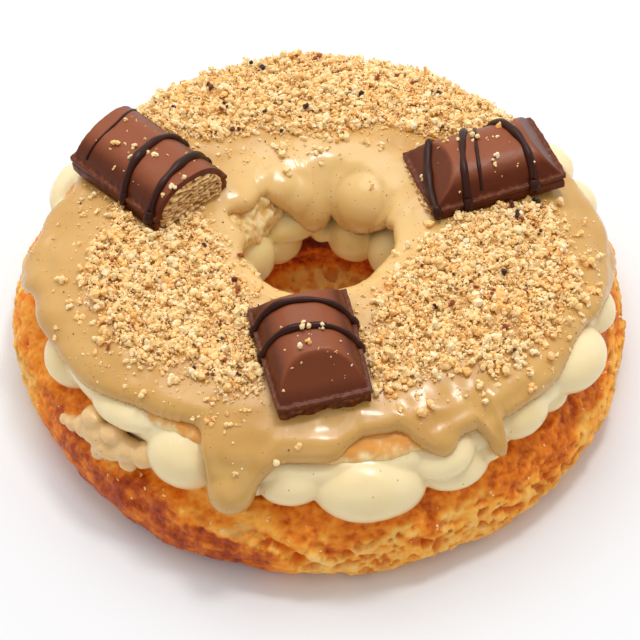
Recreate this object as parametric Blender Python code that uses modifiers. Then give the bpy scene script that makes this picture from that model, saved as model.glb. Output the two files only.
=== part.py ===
"""King cake: a filled brioche ring with hazelnut glaze, nut crumbs and chocolate wafer pieces.

Metres, +Z up. The origin is the middle of the hole, on the surface that the cake stands on.
Azimuths run anticlockwise from +X; the front of the cake faces -Y. A ring piece starts as a
torus, and a section function puts each of its points at a radius and a height.
"""
import functools
import math
import random

import bmesh
import bpy
from mathutils import Euler, Matrix, Vector, noise

MM = 0.001

# Driving dimensions of the ring
OUTER_RADIUS = 80.0 * MM
HOLE_RADIUS = 20.0 * MM        # hole in the base bun, above its pale bottom lip
BOTTOM_LIP_RADIUS = 8.5 * MM   # the lip that narrows the hole at the very bottom
BASE_HEIGHT = 21.0 * MM
CREAM_TOP = 28.1 * MM          # between the buns; the roll round its rim is higher
LID_TOP = 39.0 * MM            # crown of the lid, a little of it under the glaze
LID_OUTER_RADIUS = 68.0 * MM
LID_INNER_RADIUS = 23.0 * MM
CROWN_RADIUS = 46.0 * MM
GLAZE_TOP = 41.0 * MM
GLAZE_THICKNESS = 2.6 * MM
GAP = 0.3 * MM                 # clearance between touching pieces
SOFT_GAP = 0.8 * MM            # left before a piece is thinned out, which uses up part of it
CREAM_GAP = 1.1 * MM           # the same for the cream
WELD = 0.02 * MM
CREAM_GRAIN = 0.7 * MM         # cell of the even mesh that the cream is thinned out from

# Chocolate pieces
BAR_WIDTH = 24.5 * MM
BAR_SLAB = 4.6 * MM            # from its underside up to the top of its rim
BAR_DOME = 6.8 * MM            # from the rim up to the ridge
BAR_RIM = 1.3 * MM
BAR_CREASE = 0.10              # softness of the ridge between two slopes
BAR_GRID = (8, 6)
WAFER_GRID = (5, 4)
WAFER_WALL = 1.5 * MM          # chocolate round the wafer

CRUMB_COUNT = 52
CRUMB_SEED = 11

# Points round the ring and round the section of each ring piece
BASE_POINTS = (72, 17)
LID_POINTS = (60, 10)
CREAM_POINTS = (60, 8)
GLAZE_SAMPLES = 17             # across the visible face of the glaze
GLAZE_BACK_SAMPLES = 11        # across its hidden face
GLAZE_POINTS = (108, GLAZE_SAMPLES + GLAZE_BACK_SAMPLES)
# What each soft piece is thinned out to
GLAZE_TRIANGLES = 1800
SPILL_TRIANGLES = 260
FILLING_TRIANGLES = 3700


def clear_objects():
    """Remove the objects that the scene opens with."""
    for item in list(bpy.data.objects):
        bpy.data.objects.remove(item, do_unlink=True)


def make_collection(name):
    """A new collection in the scene."""
    group = bpy.data.collections.new(name)
    bpy.context.scene.collection.children.link(group)
    return group


def make_material(name, colour, roughness):
    """A plain food material: linear colour, roughness and no metal."""
    mat = bpy.data.materials.new(name)
    mat.use_nodes = True
    shader = mat.node_tree.nodes["Principled BSDF"]
    shader.inputs["Base Color"].default_value = (*colour, 1.0)
    shader.inputs["Roughness"].default_value = roughness
    shader.inputs["Metallic"].default_value = 0.0
    mat.diffuse_color = (*colour, 1.0)
    return mat


def add_object(name, bm, mat, group):
    """Turn a bmesh into an object of a collection."""
    mesh = bpy.data.meshes.new(name)
    bm.to_mesh(mesh)
    bm.free()
    if mat:
        mesh.materials.append(mat)
    item = bpy.data.objects.new(name, mesh)
    group.objects.link(item)
    return item


def ease(value):
    """Smooth step from 0 to 1."""
    value = min(1.0, max(0.0, value))
    return value * value * (3.0 - 2.0 * value)


def turn_between(a, b):
    """Signed difference of two azimuths in degrees, from -180 to 180."""
    return (a - b + 180.0) % 360.0 - 180.0


def around(stations, azimuth):
    """Read a value that varies round the ring from (azimuth, value) stations, eased between."""
    azimuth %= 360.0
    for (start, low), (end, high) in zip(stations, stations[1:] + stations[:1]):
        span = (end - start) % 360.0
        step = (azimuth - start) % 360.0
        if step <= span and span > 0.0:
            return low + (high - low) * ease(step / span)
    return stations[0][1]


def hump(azimuth, centre, half_width):
    """A bell from 0 to 1 round an azimuth."""
    return math.exp(-((turn_between(azimuth, centre) / half_width) ** 2))


def spline_point(points, place, closed):
    """Catmull-Rom point through a list of (radius, height); place runs from 0 to 1."""
    count = len(points)
    spans = count if closed else count - 1
    place = min(max(place, 0.0), 1.0) * spans
    index = min(int(place), spans - 1)
    t = place - index

    def pick(k):
        if closed:
            return points[k % count]
        return points[min(max(k, 0), count - 1)]

    p0, p1, p2, p3 = (pick(index + k) for k in (-1, 0, 1, 2))
    out = []
    for a, b, c, d in zip(p0, p1, p2, p3):
        out.append(0.5 * (2 * b + (c - a) * t + (2 * a - 5 * b + 4 * c - d) * t * t
                          + (3 * b - a - 3 * c + d) * t ** 3))
    return out


class EvenCurve:
    """A smooth curve through (radius, height) points, read at even steps of its length."""

    def __init__(self, points, closed, samples=240):
        self.places = [k / samples for k in range(samples + 1)]
        self.samples = [spline_point(points, place, closed) for place in self.places]
        self.lengths = [0.0]
        for a, b in zip(self.samples, self.samples[1:]):
            self.lengths.append(self.lengths[-1] + math.dist(a, b))

    def at(self, share):
        """The point at a share of the whole length."""
        want = min(max(share, 0.0), 1.0) * self.lengths[-1]
        low, high = 0, len(self.lengths) - 1
        while high - low > 1:
            middle = (low + high) // 2
            if self.lengths[middle] <= want:
                low = middle
            else:
                high = middle
        span = self.lengths[high] - self.lengths[low]
        t = (want - self.lengths[low]) / span if span else 0.0
        a, b = self.samples[low], self.samples[high]
        return a[0] + (b[0] - a[0]) * t, a[1] + (b[1] - a[1]) * t

    def normal(self, share):
        """Unit normal on the left of the direction of travel, as (radial, up)."""
        a, b = self.at(max(0.0, share - 0.004)), self.at(min(1.0, share + 0.004))
        dr, dz = b[0] - a[0], b[1] - a[1]
        size = math.hypot(dr, dz) or 1.0
        return dz / size, -dr / size

    def share_where(self, test):
        """The first share of the length whose point passes a test, or 1."""
        for index, point in enumerate(self.samples):
            if test(*point):
                return self.lengths[index] / self.lengths[-1]
        return 1.0


def ring(name, points, section, mat, group):
    """A torus whose points are moved to section(azimuth in degrees, share round the section)."""
    bpy.ops.mesh.primitive_torus_add(
        major_segments=points[0], minor_segments=points[1],
        major_radius=OUTER_RADIUS, minor_radius=10.0 * MM)
    item = bpy.context.object
    item.name = name
    item.data.name = name
    for vertex in item.data.vertices:
        x, y, z = vertex.co
        azimuth = math.atan2(y, x)
        share = math.atan2(z, math.hypot(x, y) - OUTER_RADIUS) / math.tau
        radius, height = section(math.degrees(azimuth) % 360.0, round(share % 1.0, 6) % 1.0)
        vertex.co = (radius * math.cos(azimuth), radius * math.sin(azimuth), height)
    for owner in list(item.users_collection):
        owner.objects.unlink(item)
    group.objects.link(item)
    item.data.materials.clear()
    if mat:
        item.data.materials.append(mat)
    return item


def lumps(radius, azimuth, height, size, seed):
    """Smooth uneven relief from -1 to 1 with lumps of a given size."""
    angle = math.radians(azimuth)
    place = Vector((radius * math.cos(angle), radius * math.sin(angle), height)) / size
    return noise.noise(place + Vector((seed, 2.0 * seed, -seed)))


# ---------------------------------------------------------------- base bun

BASE_SECTION = [
    (OUTER_RADIUS - 0.3 * MM, 7.0 * MM),
    (OUTER_RADIUS, 11.0 * MM),
    (OUTER_RADIUS - 2.2 * MM, 16.5 * MM),
    (OUTER_RADIUS - 7.5 * MM, 20.5 * MM),
    (OUTER_RADIUS - 17.0 * MM, BASE_HEIGHT),
    (CROWN_RADIUS, BASE_HEIGHT),
    (HOLE_RADIUS + 9.0 * MM, BASE_HEIGHT),
    (HOLE_RADIUS + 3.5 * MM, 18.5 * MM),
    (HOLE_RADIUS + 0.8 * MM, 13.0 * MM),
    (HOLE_RADIUS, 7.0 * MM),
    (HOLE_RADIUS - 1.0 * MM, 3.8 * MM),
    (BOTTOM_LIP_RADIUS + 1.5 * MM, 2.6 * MM),
    (BOTTOM_LIP_RADIUS, 1.2 * MM),
    (BOTTOM_LIP_RADIUS + 1.6 * MM, 0.0),
    (HOLE_RADIUS + 4.0 * MM, 0.0),
    (CROWN_RADIUS, 0.0),
    (OUTER_RADIUS - 12.0 * MM, 0.0),
    (OUTER_RADIUS - 5.0 * MM, 0.4 * MM),
    (OUTER_RADIUS - 1.8 * MM, 3.0 * MM),
]
# Height of the long tear in the crust, from the left shoulder down to the front foot
TEAR_START, TEAR_END = 226.0, 276.0
TEAR_HEIGHTS = [(226.0, 20.5 * MM), (246.0, 19.5 * MM), (260.0, 16.0 * MM), (276.0, 5.0 * MM)]


def tear_depth(azimuth, height):
    """How deep the crust tear is at a place on the outer side."""
    if not TEAR_START < azimuth < TEAR_END:
        return 0.0
    line = around(TEAR_HEIGHTS, azimuth)
    ends = min(azimuth - TEAR_START, TEAR_END - azimuth) / 8.0
    groove = math.exp(-((height - line) / (1.6 * MM)) ** 2)
    return 1.9 * MM * groove * ease(ends)


def base_section(grow):
    """Section function of the base bun, grown outward by a clearance."""
    curve = EvenCurve(BASE_SECTION, closed=True)

    def section(azimuth, share):
        radius, height = curve.at(share)
        out_r, out_z = curve.normal(share)
        outer = ease((radius - 60.0 * MM) / (12.0 * MM))
        inner = ease((30.0 * MM - radius) / (8.0 * MM))
        side = max(outer, inner) * ease(height / (2.5 * MM))
        crust = 1.1 * MM * lumps(radius, azimuth, height, 15.0 * MM, 3.0)
        crust += 0.9 * MM * lumps(radius, azimuth, height, 6.5 * MM, 9.0)
        push = side * crust - outer * tear_depth(azimuth, height) + grow
        swell = 1.6 * MM * hump(azimuth, 182.0, 16.0) + 0.9 * MM * hump(azimuth, 2.0, 12.0)
        swell += 0.7 * MM * math.sin(math.radians(3.0 * azimuth + 40.0))
        radius += push * out_r + swell * outer
        height += push * out_z
        if grow == 0.0:
            height = max(height, 0.0)
        return radius, height

    return section


# ---------------------------------------------------------------- lid bun

LID_OUTLINE = [(10.0, 0.5 * MM), (50.0, -2.0 * MM), (95.0, 0.5 * MM), (140.0, 0.3 * MM),
               (184.0, 2.6 * MM), (225.0, 0.2 * MM), (270.0, -0.4 * MM), (330.0, 0.6 * MM)]
# Torn inner wall of the lid, where the pale crumb shows in the hole
TORN_CENTRE = 142.0
TORN_HALF_WIDTH = 22.0


# ---------------------------------------------------------------- glaze

# Height of the glaze's lower edge on the outside, before its drips
OUTER_EDGE = [
    (0.0, 30.5), (20.0, 33.2), (90.0, 33.5), (150.0, 34.2), (166.0, 35.3), (176.0, 32.6),
    (200.0, 30.8), (216.0, 30.8), (232.0, 33.8), (243.0, 34.6), (262.0, 33.0), (273.0, 33.2),
    (278.0, 35.8), (286.0, 35.6), (291.0, 33.0), (301.0, 33.2), (318.0, 31.8), (335.0, 33.4),
    (346.0, 31.5),
]
# Drips: azimuth, half width in degrees, how far they run below that edge
DRIPS = [
    (356.0, 13.0, 3.6), (38.0, 8.0, 3.0), (68.0, 7.0, 6.0), (97.0, 6.0, 3.0), (123.0, 6.5, 7.5),
    (142.0, 5.0, 3.0), (186.0, 4.5, 4.0), (253.2, 5.4, 11.8), (294.2, 2.6, 1.8), (304.2, 1.9, 8.0),
]
# Height of its edge inside the hole: two fat lobes at the back, bare torn crumb beside them
INNER_EDGE = [
    (12.0, 34.0), (27.0, 31.4), (39.0, 27.0), (55.0, 23.6), (72.0, 22.8), (81.0, 25.4),
    (86.0, 27.4), (91.0, 24.6), (98.0, 23.0), (105.0, 25.0), (111.0, 28.4), (118.0, 32.6),
    (127.0, 35.0), (140.0, 36.2), (158.0, 37.2), (175.0, 36.2), (200.0, 34.6), (270.0, 34.6),
    (330.0, 34.2),
]
# Radius of the glaze's hidden face where it rounds over into the hole
INNER_RIM = [
    (0.0, 20.8), (20.0, 21.6), (38.0, 24.6), (57.0, 26.4), (80.0, 27.4), (107.0, 27.6),
    (130.0, 28.4), (155.0, 28.0), (175.0, 26.0), (198.0, 23.6), (240.0, 23.6), (290.0, 21.6),
    (322.0, 20.0),
]
# The two lobes: azimuth and half width
LOBES = [(58.0, 19.0), (100.0, 13.0)]


def outer_edge(azimuth):
    """Height of the glaze's outer edge with its drips."""
    drop = sum(fall * math.exp(-abs(turn_between(azimuth, centre) / half_width) ** 2.6)
               for centre, half_width, fall in DRIPS)
    return (around(OUTER_EDGE, azimuth) - drop) * MM


def glaze_path(azimuth):
    """The hidden face of the glaze, from deep in the hole over the crown to the outer side."""
    lobe = max(hump(azimuth, centre, width) for centre, width in LOBES)
    rim = around(INNER_RIM, azimuth) * MM
    lap = 1.2 * MM * hump(azimuth, 358.0, 14.0)
    wide = around(LID_OUTLINE, azimuth) + lap
    top = GLAZE_TOP - GLAZE_THICKNESS
    ball = 1.8 * MM * lobe
    return EvenCurve([
        (19.6 * MM - 0.5 * ball, 20.0 * MM),
        (18.9 * MM - ball, 25.0 * MM),
        (min(rim, 21.2 * MM) - 0.8 * MM - ball, 30.5 * MM),
        (rim - 1.6 * MM - ball, 34.4 * MM),
        (rim + 2.2 * MM - 0.3 * ball, top - 1.1 * MM),
        (rim + 8.0 * MM, top - 0.1 * MM),
        (CROWN_RADIUS + 5.0 * MM, top - 0.2 * MM),
        (60.5 * MM + 0.6 * wide, top - 1.7 * MM),
        (67.5 * MM + wide, 33.6 * MM),
        (71.4 * MM + wide, 29.6 * MM),
        (74.0 * MM + wide, 24.8 * MM),
        (75.4 * MM + wide, 19.0 * MM),
    ], closed=False, samples=120)


@functools.lru_cache(maxsize=None)
def glaze_reach(azimuth, grow):
    """The hidden face of the glaze, with the shares of it where the glaze starts and ends."""
    curve = glaze_path(azimuth)
    low = around(INNER_EDGE, azimuth) * MM - grow
    high = outer_edge(azimuth) - grow
    start = curve.share_where(lambda r, z: z >= low and r < 40.0 * MM)
    end = curve.share_where(lambda r, z: z <= high and r > 50.0 * MM)
    return curve, start, end


def glaze_section(grow):
    """Section function of the glaze, a closed skin between its edge in the hole and outside."""

    def section(azimuth, share):
        curve, start, end = glaze_reach(round(azimuth, 3), grow)
        count = GLAZE_SAMPLES + GLAZE_BACK_SAMPLES
        step = round(share * count)
        if step < GLAZE_SAMPLES:
            even = 1.0 - step / (GLAZE_SAMPLES - 1)
            face = 1.0
        else:
            even = (step - GLAZE_SAMPLES + 1) / (GLAZE_BACK_SAMPLES + 1)
            face = -1.0
        along = 0.45 * even + 0.55 * ease(even)
        place = start + (end - start) * along
        radius, height = curve.at(place)
        out_r, out_z = curve.normal(place)
        edge = min(along, 1.0 - along)
        round_off = math.sqrt(max(0.0, 1.0 - max(0.0, 1.0 - edge / 0.07) ** 2))
        if face > 0.0:
            beadwork = 0.9 * MM * math.exp(-((edge - 0.09) / 0.05) ** 2) * ease((along - 0.5) * 9)
            thick = (GLAZE_THICKNESS + beadwork) * (0.25 + 0.75 * round_off)
            thick += 0.35 * MM * lumps(radius, azimuth, height, 16.0 * MM, 21.0) * round_off
            push = thick + grow
        else:
            push = -grow
        return radius - push * out_r, height - push * out_z

    return section


# ---------------------------------------------------------------- lid bun under the glaze

def under_glaze(azimuth, radius, height, clear):
    """Move a point of the lid back to where it clears the hidden face of the glaze."""
    curve, start, end = glaze_reach(round(azimuth, 3), 0.0)
    point = (radius, height)
    nearest = min(range(len(curve.samples)), key=lambda k: math.dist(curve.samples[k], point))
    share = curve.lengths[nearest] / curve.lengths[-1]
    spare = 0.02
    if not start - spare <= share <= end + spare:
        return radius, height
    out_r, out_z = curve.normal(share)
    at_r, at_z = curve.samples[nearest]
    above = (at_r - radius) * out_r + (at_z - height) * out_z
    if above < -clear:
        return radius, height
    return radius + (above + clear) * out_r, height + (above + clear) * out_z


def lid_section(grow):
    """Section function of the lid bun, which fills the room under the glaze."""
    curve = EvenCurve([
        (LID_OUTER_RADIUS, 32.2 * MM),
        (LID_OUTER_RADIUS - 1.6 * MM, 34.8 * MM),
        (LID_OUTER_RADIUS - 7.0 * MM, 37.2 * MM),
        (CROWN_RADIUS + 6.0 * MM, LID_TOP),
        (CROWN_RADIUS - 8.0 * MM, LID_TOP),
        (LID_INNER_RADIUS + 4.0 * MM, 37.4 * MM),
        (LID_INNER_RADIUS, 33.0 * MM),
        (LID_INNER_RADIUS + 1.5 * MM, 29.6 * MM),
        (CROWN_RADIUS, 28.8 * MM),
        (LID_OUTER_RADIUS - 3.0 * MM, 29.4 * MM),
    ], closed=True)

    def section(azimuth, share):
        radius, height = curve.at(share)
        out_r, out_z = curve.normal(share)
        outer = ease((radius - 55.0 * MM) / (10.0 * MM))
        inner = ease((32.0 * MM - radius) / (6.0 * MM))
        torn = inner * hump(azimuth, TORN_CENTRE, TORN_HALF_WIDTH)
        sag = inner * hump(azimuth, 156.0, 11.0) * ease((35.0 * MM - height) / (5.0 * MM))
        push = grow + 0.5 * MM * lumps(radius, azimuth, height, 7.0 * MM, 5.0) * outer
        push += torn * (1.4 * MM + 1.9 * MM * lumps(radius, azimuth, height, 3.5 * MM, 6.0))
        radius += push * out_r + outer * around(LID_OUTLINE, azimuth) - 1.5 * MM * sag
        height += push * out_z - 5.5 * MM * sag
        return under_glaze(azimuth, radius, height, SOFT_GAP - grow)

    return section


def ring_height(item, x, y):
    """Top of an object straight above or below a place."""
    hit, place, _, _ = item.ray_cast(Vector((x, y, 0.2)), Vector((0.0, 0.0, -1.0)))
    return place.z if hit else None


# ---------------------------------------------------------------- pastry cream

# Piped dollops round the outside: azimuth, reach, mid height, half length, half height
OUTER_DOLLOPS = [
    (3.0, 75.0, 27.5, 9.0, 6.0), (17.0, 75.5, 28.0, 8.0, 6.0), (30.0, 74.0, 27.5, 9.5, 6.5),
    (46.0, 71.5, 26.5, 9.5, 6.0), (61.0, 73.0, 26.5, 9.0, 6.5), (77.0, 73.5, 27.0, 10.0, 6.0),
    (93.0, 75.0, 26.0, 9.5, 6.5), (109.0, 73.5, 26.5, 9.5, 6.0), (124.0, 74.5, 26.0, 9.0, 6.5),
    (141.0, 73.5, 26.5, 10.5, 6.0), (159.0, 75.0, 28.0, 11.0, 7.0), (176.0, 73.5, 26.0, 9.0, 6.0),
    (191.0, 73.5, 25.5, 8.5, 6.0), (206.0, 75.5, 25.5, 9.0, 6.6), (226.0, 73.5, 29.6, 12.5, 4.6),
    (241.5, 76.0, 25.2, 10.0, 8.0), (254.0, 73.0, 25.0, 9.0, 6.0), (264.0, 74.5, 26.0, 9.5, 5.6),
    (279.0, 78.0, 24.6, 13.5, 7.8), (296.5, 75.5, 24.0, 10.0, 5.0), (294.0, 74.5, 29.0, 9.0, 4.6),
    (304.0, 73.0, 25.2, 8.0, 4.4), (313.5, 74.0, 28.0, 9.5, 6.0), (323.0, 73.0, 24.8, 7.0, 4.4),
    (331.5, 77.0, 28.2, 12.0, 7.0), (347.0, 77.0, 26.4, 8.0, 6.0),
]
# The same in the hole, where they droop over the base's inner edge
INNER_DOLLOPS = [
    (33.0, 15.4, 18.6, 7.0, 8.2), (67.0, 14.8, 16.8, 7.4, 7.6), (91.0, 16.6, 18.0, 4.4, 3.6),
    (112.0, 15.0, 22.4, 9.4, 5.4), (123.0, 15.8, 16.0, 7.0, 6.6), (152.0, 15.2, 18.2, 6.8, 8.2),
    (186.0, 15.6, 20.5, 7.5, 6.5), (222.0, 15.4, 19.5, 7.5, 7.0), (256.0, 15.6, 20.5, 7.5, 6.5),
    (290.0, 15.4, 19.5, 7.5, 7.0), (325.0, 15.6, 20.5, 7.5, 6.5), (0.0, 15.6, 20.0, 6.5, 6.5),
]
OUTER_DOLLOP_DEPTH = 9.0 * MM
INNER_DOLLOP_DEPTH = 6.5 * MM
CREAM_ROLL_RADIUS = 66.8 * MM  # middle of the roll squeezed up round the lid's rim
CREAM_ROLL = 4.2 * MM


def dollop(place, index, group):
    """One soft rounded dollop, leaning a little against its neighbour."""
    azimuth, reach, middle, half_length, half_height = place
    outside = reach > 40.0
    depth = OUTER_DOLLOP_DEPTH if outside else INNER_DOLLOP_DEPTH
    centre = reach * MM - depth if outside else reach * MM + depth
    bm = bmesh.new()
    bmesh.ops.create_uvsphere(bm, u_segments=12, v_segments=8, radius=1.0)
    size = Matrix.Diagonal((depth, half_length * MM, half_height * MM, 1.0))
    lean = Matrix.Rotation(math.radians(10.0 * math.sin(2.3 * index)), 4, "X")
    turn = Matrix.Rotation(math.radians(azimuth), 4, "Z")
    move = Matrix.Translation((centre, 0.0, middle * MM))
    bmesh.ops.transform(bm, matrix=turn @ move @ lean @ size, verts=bm.verts)
    return add_object(f"dollop_{index}", bm, None, group)


def cream_core_section(azimuth, share):
    """Section of the flat cream layer, clear of the faces of both buns."""
    low, high = BASE_HEIGHT + CREAM_GAP, CREAM_TOP
    angle = math.tau * share
    cos, sin = math.cos(angle), math.sin(angle)
    radius = 46.5 * MM + 23.0 * MM * math.copysign(abs(cos) ** 0.4, cos)
    height = (high + low + (high - low) * math.copysign(abs(sin) ** 0.4, sin)) / 2.0
    return radius, height


def cream_roll_section(azimuth, share):
    """Section of the uneven roll of cream squeezed out round the rim of the lid."""
    angle = math.tau * share
    wave = 0.6 * MM * math.sin(math.radians(7.0 * azimuth)) + around(LID_OUTLINE, azimuth) * 0.5
    radius = CREAM_ROLL_RADIUS + wave + CREAM_ROLL * math.cos(angle)
    return radius, CREAM_TOP + 0.4 * MM + CREAM_ROLL * math.sin(angle)


# ---------------------------------------------------------------- spilt glaze on the base

SPILL_BLOBS = [
    (216.5, 76.5, 19.5, 2.2), (219.0, 75.0, 21.5, 3.4), (222.5, 74.5, 23.0, 4.4),
    (225.5, 76.0, 20.8, 3.8), (228.5, 73.8, 22.6, 3.8), (232.5, 73.0, 22.8, 3.6),
    (236.0, 72.6, 22.6, 3.0), (221.0, 73.6, 26.4, 3.0),
]


def spill_blob(place, grow, index, group):
    """One rounded lump of the spilt glaze."""
    azimuth, radius, height, size = place
    bm = bmesh.new()
    bmesh.ops.create_icosphere(bm, subdivisions=2, radius=size * MM + grow)
    move = Matrix.Translation((radius * MM, 0.0, height * MM))
    turn = Matrix.Rotation(math.radians(azimuth), 4, "Z")
    flat = Matrix.Diagonal((1.0, 1.15, 0.75, 1.0))
    bmesh.ops.transform(bm, matrix=turn @ move @ flat, verts=bm.verts)
    return add_object(f"blob_{index}", bm, None, group)


# ---------------------------------------------------------------- chocolate pieces

class Bar:
    """Place and form of one chocolate piece; its local +X runs along it, z = 0 is its rim."""

    def __init__(self, name, length, centre, turn, slopes, taper, shear, drizzle):
        self.name = name
        self.length = length
        self.slopes = slopes
        self.taper = taper
        self.shear = shear * MM
        self.drizzle = drizzle
        yaw, pitch, roll = (math.radians(angle) for angle in turn)
        spin = Euler((roll, pitch, yaw), "XYZ").to_matrix().to_4x4()
        self.matrix = Matrix.Translation(Vector(centre) * MM) @ spin

    def dome(self, x, y, inset=0.0):
        """Height of the domed top above the rim, with a hip of its own length at each end."""
        half_length = self.length / 2.0 - 1.1 * MM - inset
        half_width = BAR_WIDTH / 2.0 - 1.1 * MM - inset
        side = max(0.0, 1.0 - abs(y / half_width) ** 2.3) ** 0.62
        ends = (half_length + x, half_length - x)
        falls = [max(0.0, reach / (slope * MM)) for reach, slope in zip(ends, self.slopes) if slope]
        fall = min(1.0, *falls)
        crease = max(0.0, BAR_CREASE - abs(side - fall)) / BAR_CREASE
        low = min(side, fall) - 0.25 * BAR_CREASE * crease * crease
        return (BAR_DOME - inset) * max(0.0, low)

    def place(self, point):
        """Where a local point lies on the cake, with the piece narrowed to +X and sheared at -X."""
        along = 0.5 + point.x / self.length
        shift = self.shear * (1.0 - along) * point.y / BAR_WIDTH
        return self.matrix @ Vector((point.x + shift, point.y * (1.0 - self.taper * along), point.z))

    def covers(self, place, margin):
        """Whether a place on the cake lies under the piece."""
        local = self.matrix.inverted() @ place
        return (abs(local.x) < self.length / 2.0 + margin
                and abs(local.y) < BAR_WIDTH / 2.0 + margin)


# Slopes: length of the hip at the -X and the +X end, where 0 is an end broken off square.
# Then the narrowing at the +X end as a share of the width, and the shear of the -X end.
# Drizzle lines: station along the piece at its left edge, middle and right edge, then radius.
BARS = [
    Bar("chocolate_front", 31.5 * MM, (-2.9, -43.2, 44.6), (-77.5, 1.5, 4.0), (3.0, 9.0), 0.08, 0.0,
        [(-5.0, -9.3, -9.0, 0.85), (2.5, -1.3, -1.0, 0.85)]),
    Bar("chocolate_left", 36.3 * MM, (-45.4, 18.5, 44.4), (-46.0, -3.0, -2.0), (1.8, 0.0), 0.0, -4.4,
        [(2.3, 1.9, 5.1, 1.1), (10.8, 13.1, 15.8, 1.1)]),
    Bar("chocolate_right", 36.0 * MM, (41.0, 18.6, 44.4), (17.5, -4.5, -3.5), (8.0, 5.5), 0.0, 0.0,
        [(-9.5, -14.8, -17.0, 1.2), (-0.2, -5.4, -8.7, 0.9), (4.7, 9.2, 9.0, 1.1)]),
]


def block(x_range, width, top, levels, grid):
    """A sheet with a shaped top whose border goes down through (spread, drop) levels, closed."""
    bm = bmesh.new()
    bmesh.ops.create_grid(bm, x_segments=grid[0], y_segments=grid[1], size=0.5)
    middle = (x_range[0] + x_range[1]) / 2.0
    length = x_range[1] - x_range[0]
    for vertex in bm.verts:
        x, y = middle + vertex.co.x * length, vertex.co.y * width
        vertex.co = (x, y, top(x, y))
    border = [edge for edge in bm.edges if edge.is_boundary]
    level = 0.0
    for spread, drop in levels:
        out = bmesh.ops.extrude_edge_only(bm, edges=border)["geom"]
        border = [part for part in out if isinstance(part, bmesh.types.BMEdge)]
        level -= drop
        for vertex in (part for part in out if isinstance(part, bmesh.types.BMVert)):
            vertex.co.x = middle + (vertex.co.x - middle) * (1.0 + 2.0 * spread / length)
            vertex.co.y *= 1.0 + 2.0 * spread / width
            vertex.co.z = level
    bmesh.ops.holes_fill(bm, edges=border)
    bmesh.ops.recalc_face_normals(bm, faces=bm.faces)
    return bm


def lay_down(bm, bar):
    """Move a mesh from a piece's own frame to its place on the cake."""
    for vertex in bm.verts:
        vertex.co = bar.place(vertex.co)


def bar_solid(bar, mat, group):
    """Domed chocolate block with a rim, an undercut below it and a slab."""
    half = bar.length / 2.0
    undercut = 0.4 * MM
    slab = BAR_SLAB - BAR_RIM - undercut
    bm = block((-half, half), BAR_WIDTH, bar.dome,
               [(0.0, BAR_RIM), (-0.8 * MM, undercut), (0.3 * MM, slab)], BAR_GRID)
    lay_down(bm, bar)
    return add_object(bar.name, bm, mat, group)


def wafer_solid(bar, name, x_range, top, depth, grow, mat, group):
    """The wafer block inside a piece, or its grown cutter, from its top down by a depth."""
    width = BAR_WIDTH - 2.0 * (WAFER_WALL + 0.8 * MM) + 2.0 * grow
    bm = block((x_range[0] - grow, x_range[1] + grow), width,
               lambda x, y: top(x, y) + grow, [(0.0, depth + grow)], WAFER_GRID)
    lay_down(bm, bar)
    return add_object(name, bm, mat, group)


def drizzle_tube(bar, line, index, group):
    """A thick drizzle line that runs across a piece and over its rims."""
    left, middle, right, radius = line
    curve = bpy.data.curves.new(f"drizzle_{index}", "CURVE")
    curve.dimensions = "3D"
    curve.bevel_depth = radius * MM
    curve.bevel_resolution = 1
    curve.use_fill_caps = True
    spline = curve.splines.new("POLY")
    steps = 6
    spline.points.add(steps)
    for step in range(steps + 1):
        t = step / steps
        x = ((1 - t) ** 2 * left + 2 * t * (1 - t) * (2 * middle - (left + right) / 2)
             + t * t * right) * MM
        y = (0.5 - t) * (BAR_WIDTH - 1.2 * MM)
        z = bar.dome(x, y) + 0.15 * MM
        spline.points[step].co = (*bar.place(Vector((x, y, z))), 1.0)
    tube = bpy.data.objects.new(curve.name, curve)
    bpy.context.scene.collection.objects.link(tube)
    bpy.context.view_layer.update()
    mesh = bpy.data.meshes.new_from_object(tube.evaluated_get(bpy.context.evaluated_depsgraph_get()))
    bpy.data.objects.remove(tube)
    bm = bmesh.new()
    bm.from_mesh(mesh)
    bmesh.ops.remove_doubles(bm, verts=bm.verts, dist=0.01 * MM)
    return add_object(f"drizzle_{index}", bm, None, group)


# ---------------------------------------------------------------- crumbs

# Middle azimuth and half width of the three crumb beds between the chocolate pieces
CRUMB_BEDS = [(92.0, 52.0), (215.0, 42.0), (322.0, 44.0)]


def crumb_solid(place, size, rng, index, group):
    """One broken nut crumb, a jittered ball half sunk in the glaze."""
    bm = bmesh.new()
    bmesh.ops.create_icosphere(bm, subdivisions=1, radius=size)
    for vertex in bm.verts:
        vertex.co *= 1.0 + rng.uniform(-0.22, 0.22)
    turn = Euler([rng.uniform(0.0, math.tau) for _ in range(3)]).to_matrix().to_4x4()
    bmesh.ops.transform(bm, matrix=Matrix.Translation(place) @ turn, verts=bm.verts)
    return add_object(f"crumb_{index}", bm, None, group)


def scatter_crumbs(glaze, group):
    """Seeded crumbs over the three beds, largest first and never under a chocolate piece."""
    rng = random.Random(CRUMB_SEED)
    taken = []
    for index in range(CRUMB_COUNT):
        size = (2.1 - 1.0 * index / CRUMB_COUNT) * MM
        for _ in range(200):
            bed = CRUMB_BEDS[index % len(CRUMB_BEDS)]
            azimuth = math.radians(rng.uniform(bed[0] - bed[1], bed[0] + bed[1]))
            radius = rng.triangular(31.0, 67.0, 47.0) * MM
            x, y = radius * math.cos(azimuth), radius * math.sin(azimuth)
            height = ring_height(glaze, x, y)
            if height is None:
                continue
            place = Vector((x, y, height + 0.30 * size))
            near = any((place - other).length < size + reach + 0.4 * MM for other, reach in taken)
            if near or any(bar.covers(place, 1.5 * MM + size) for bar in BARS):
                continue
            taken.append((place, size))
            crumb_solid(place, size, rng, index, group)
            break


# ---------------------------------------------------------------- joining and cutting

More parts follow.
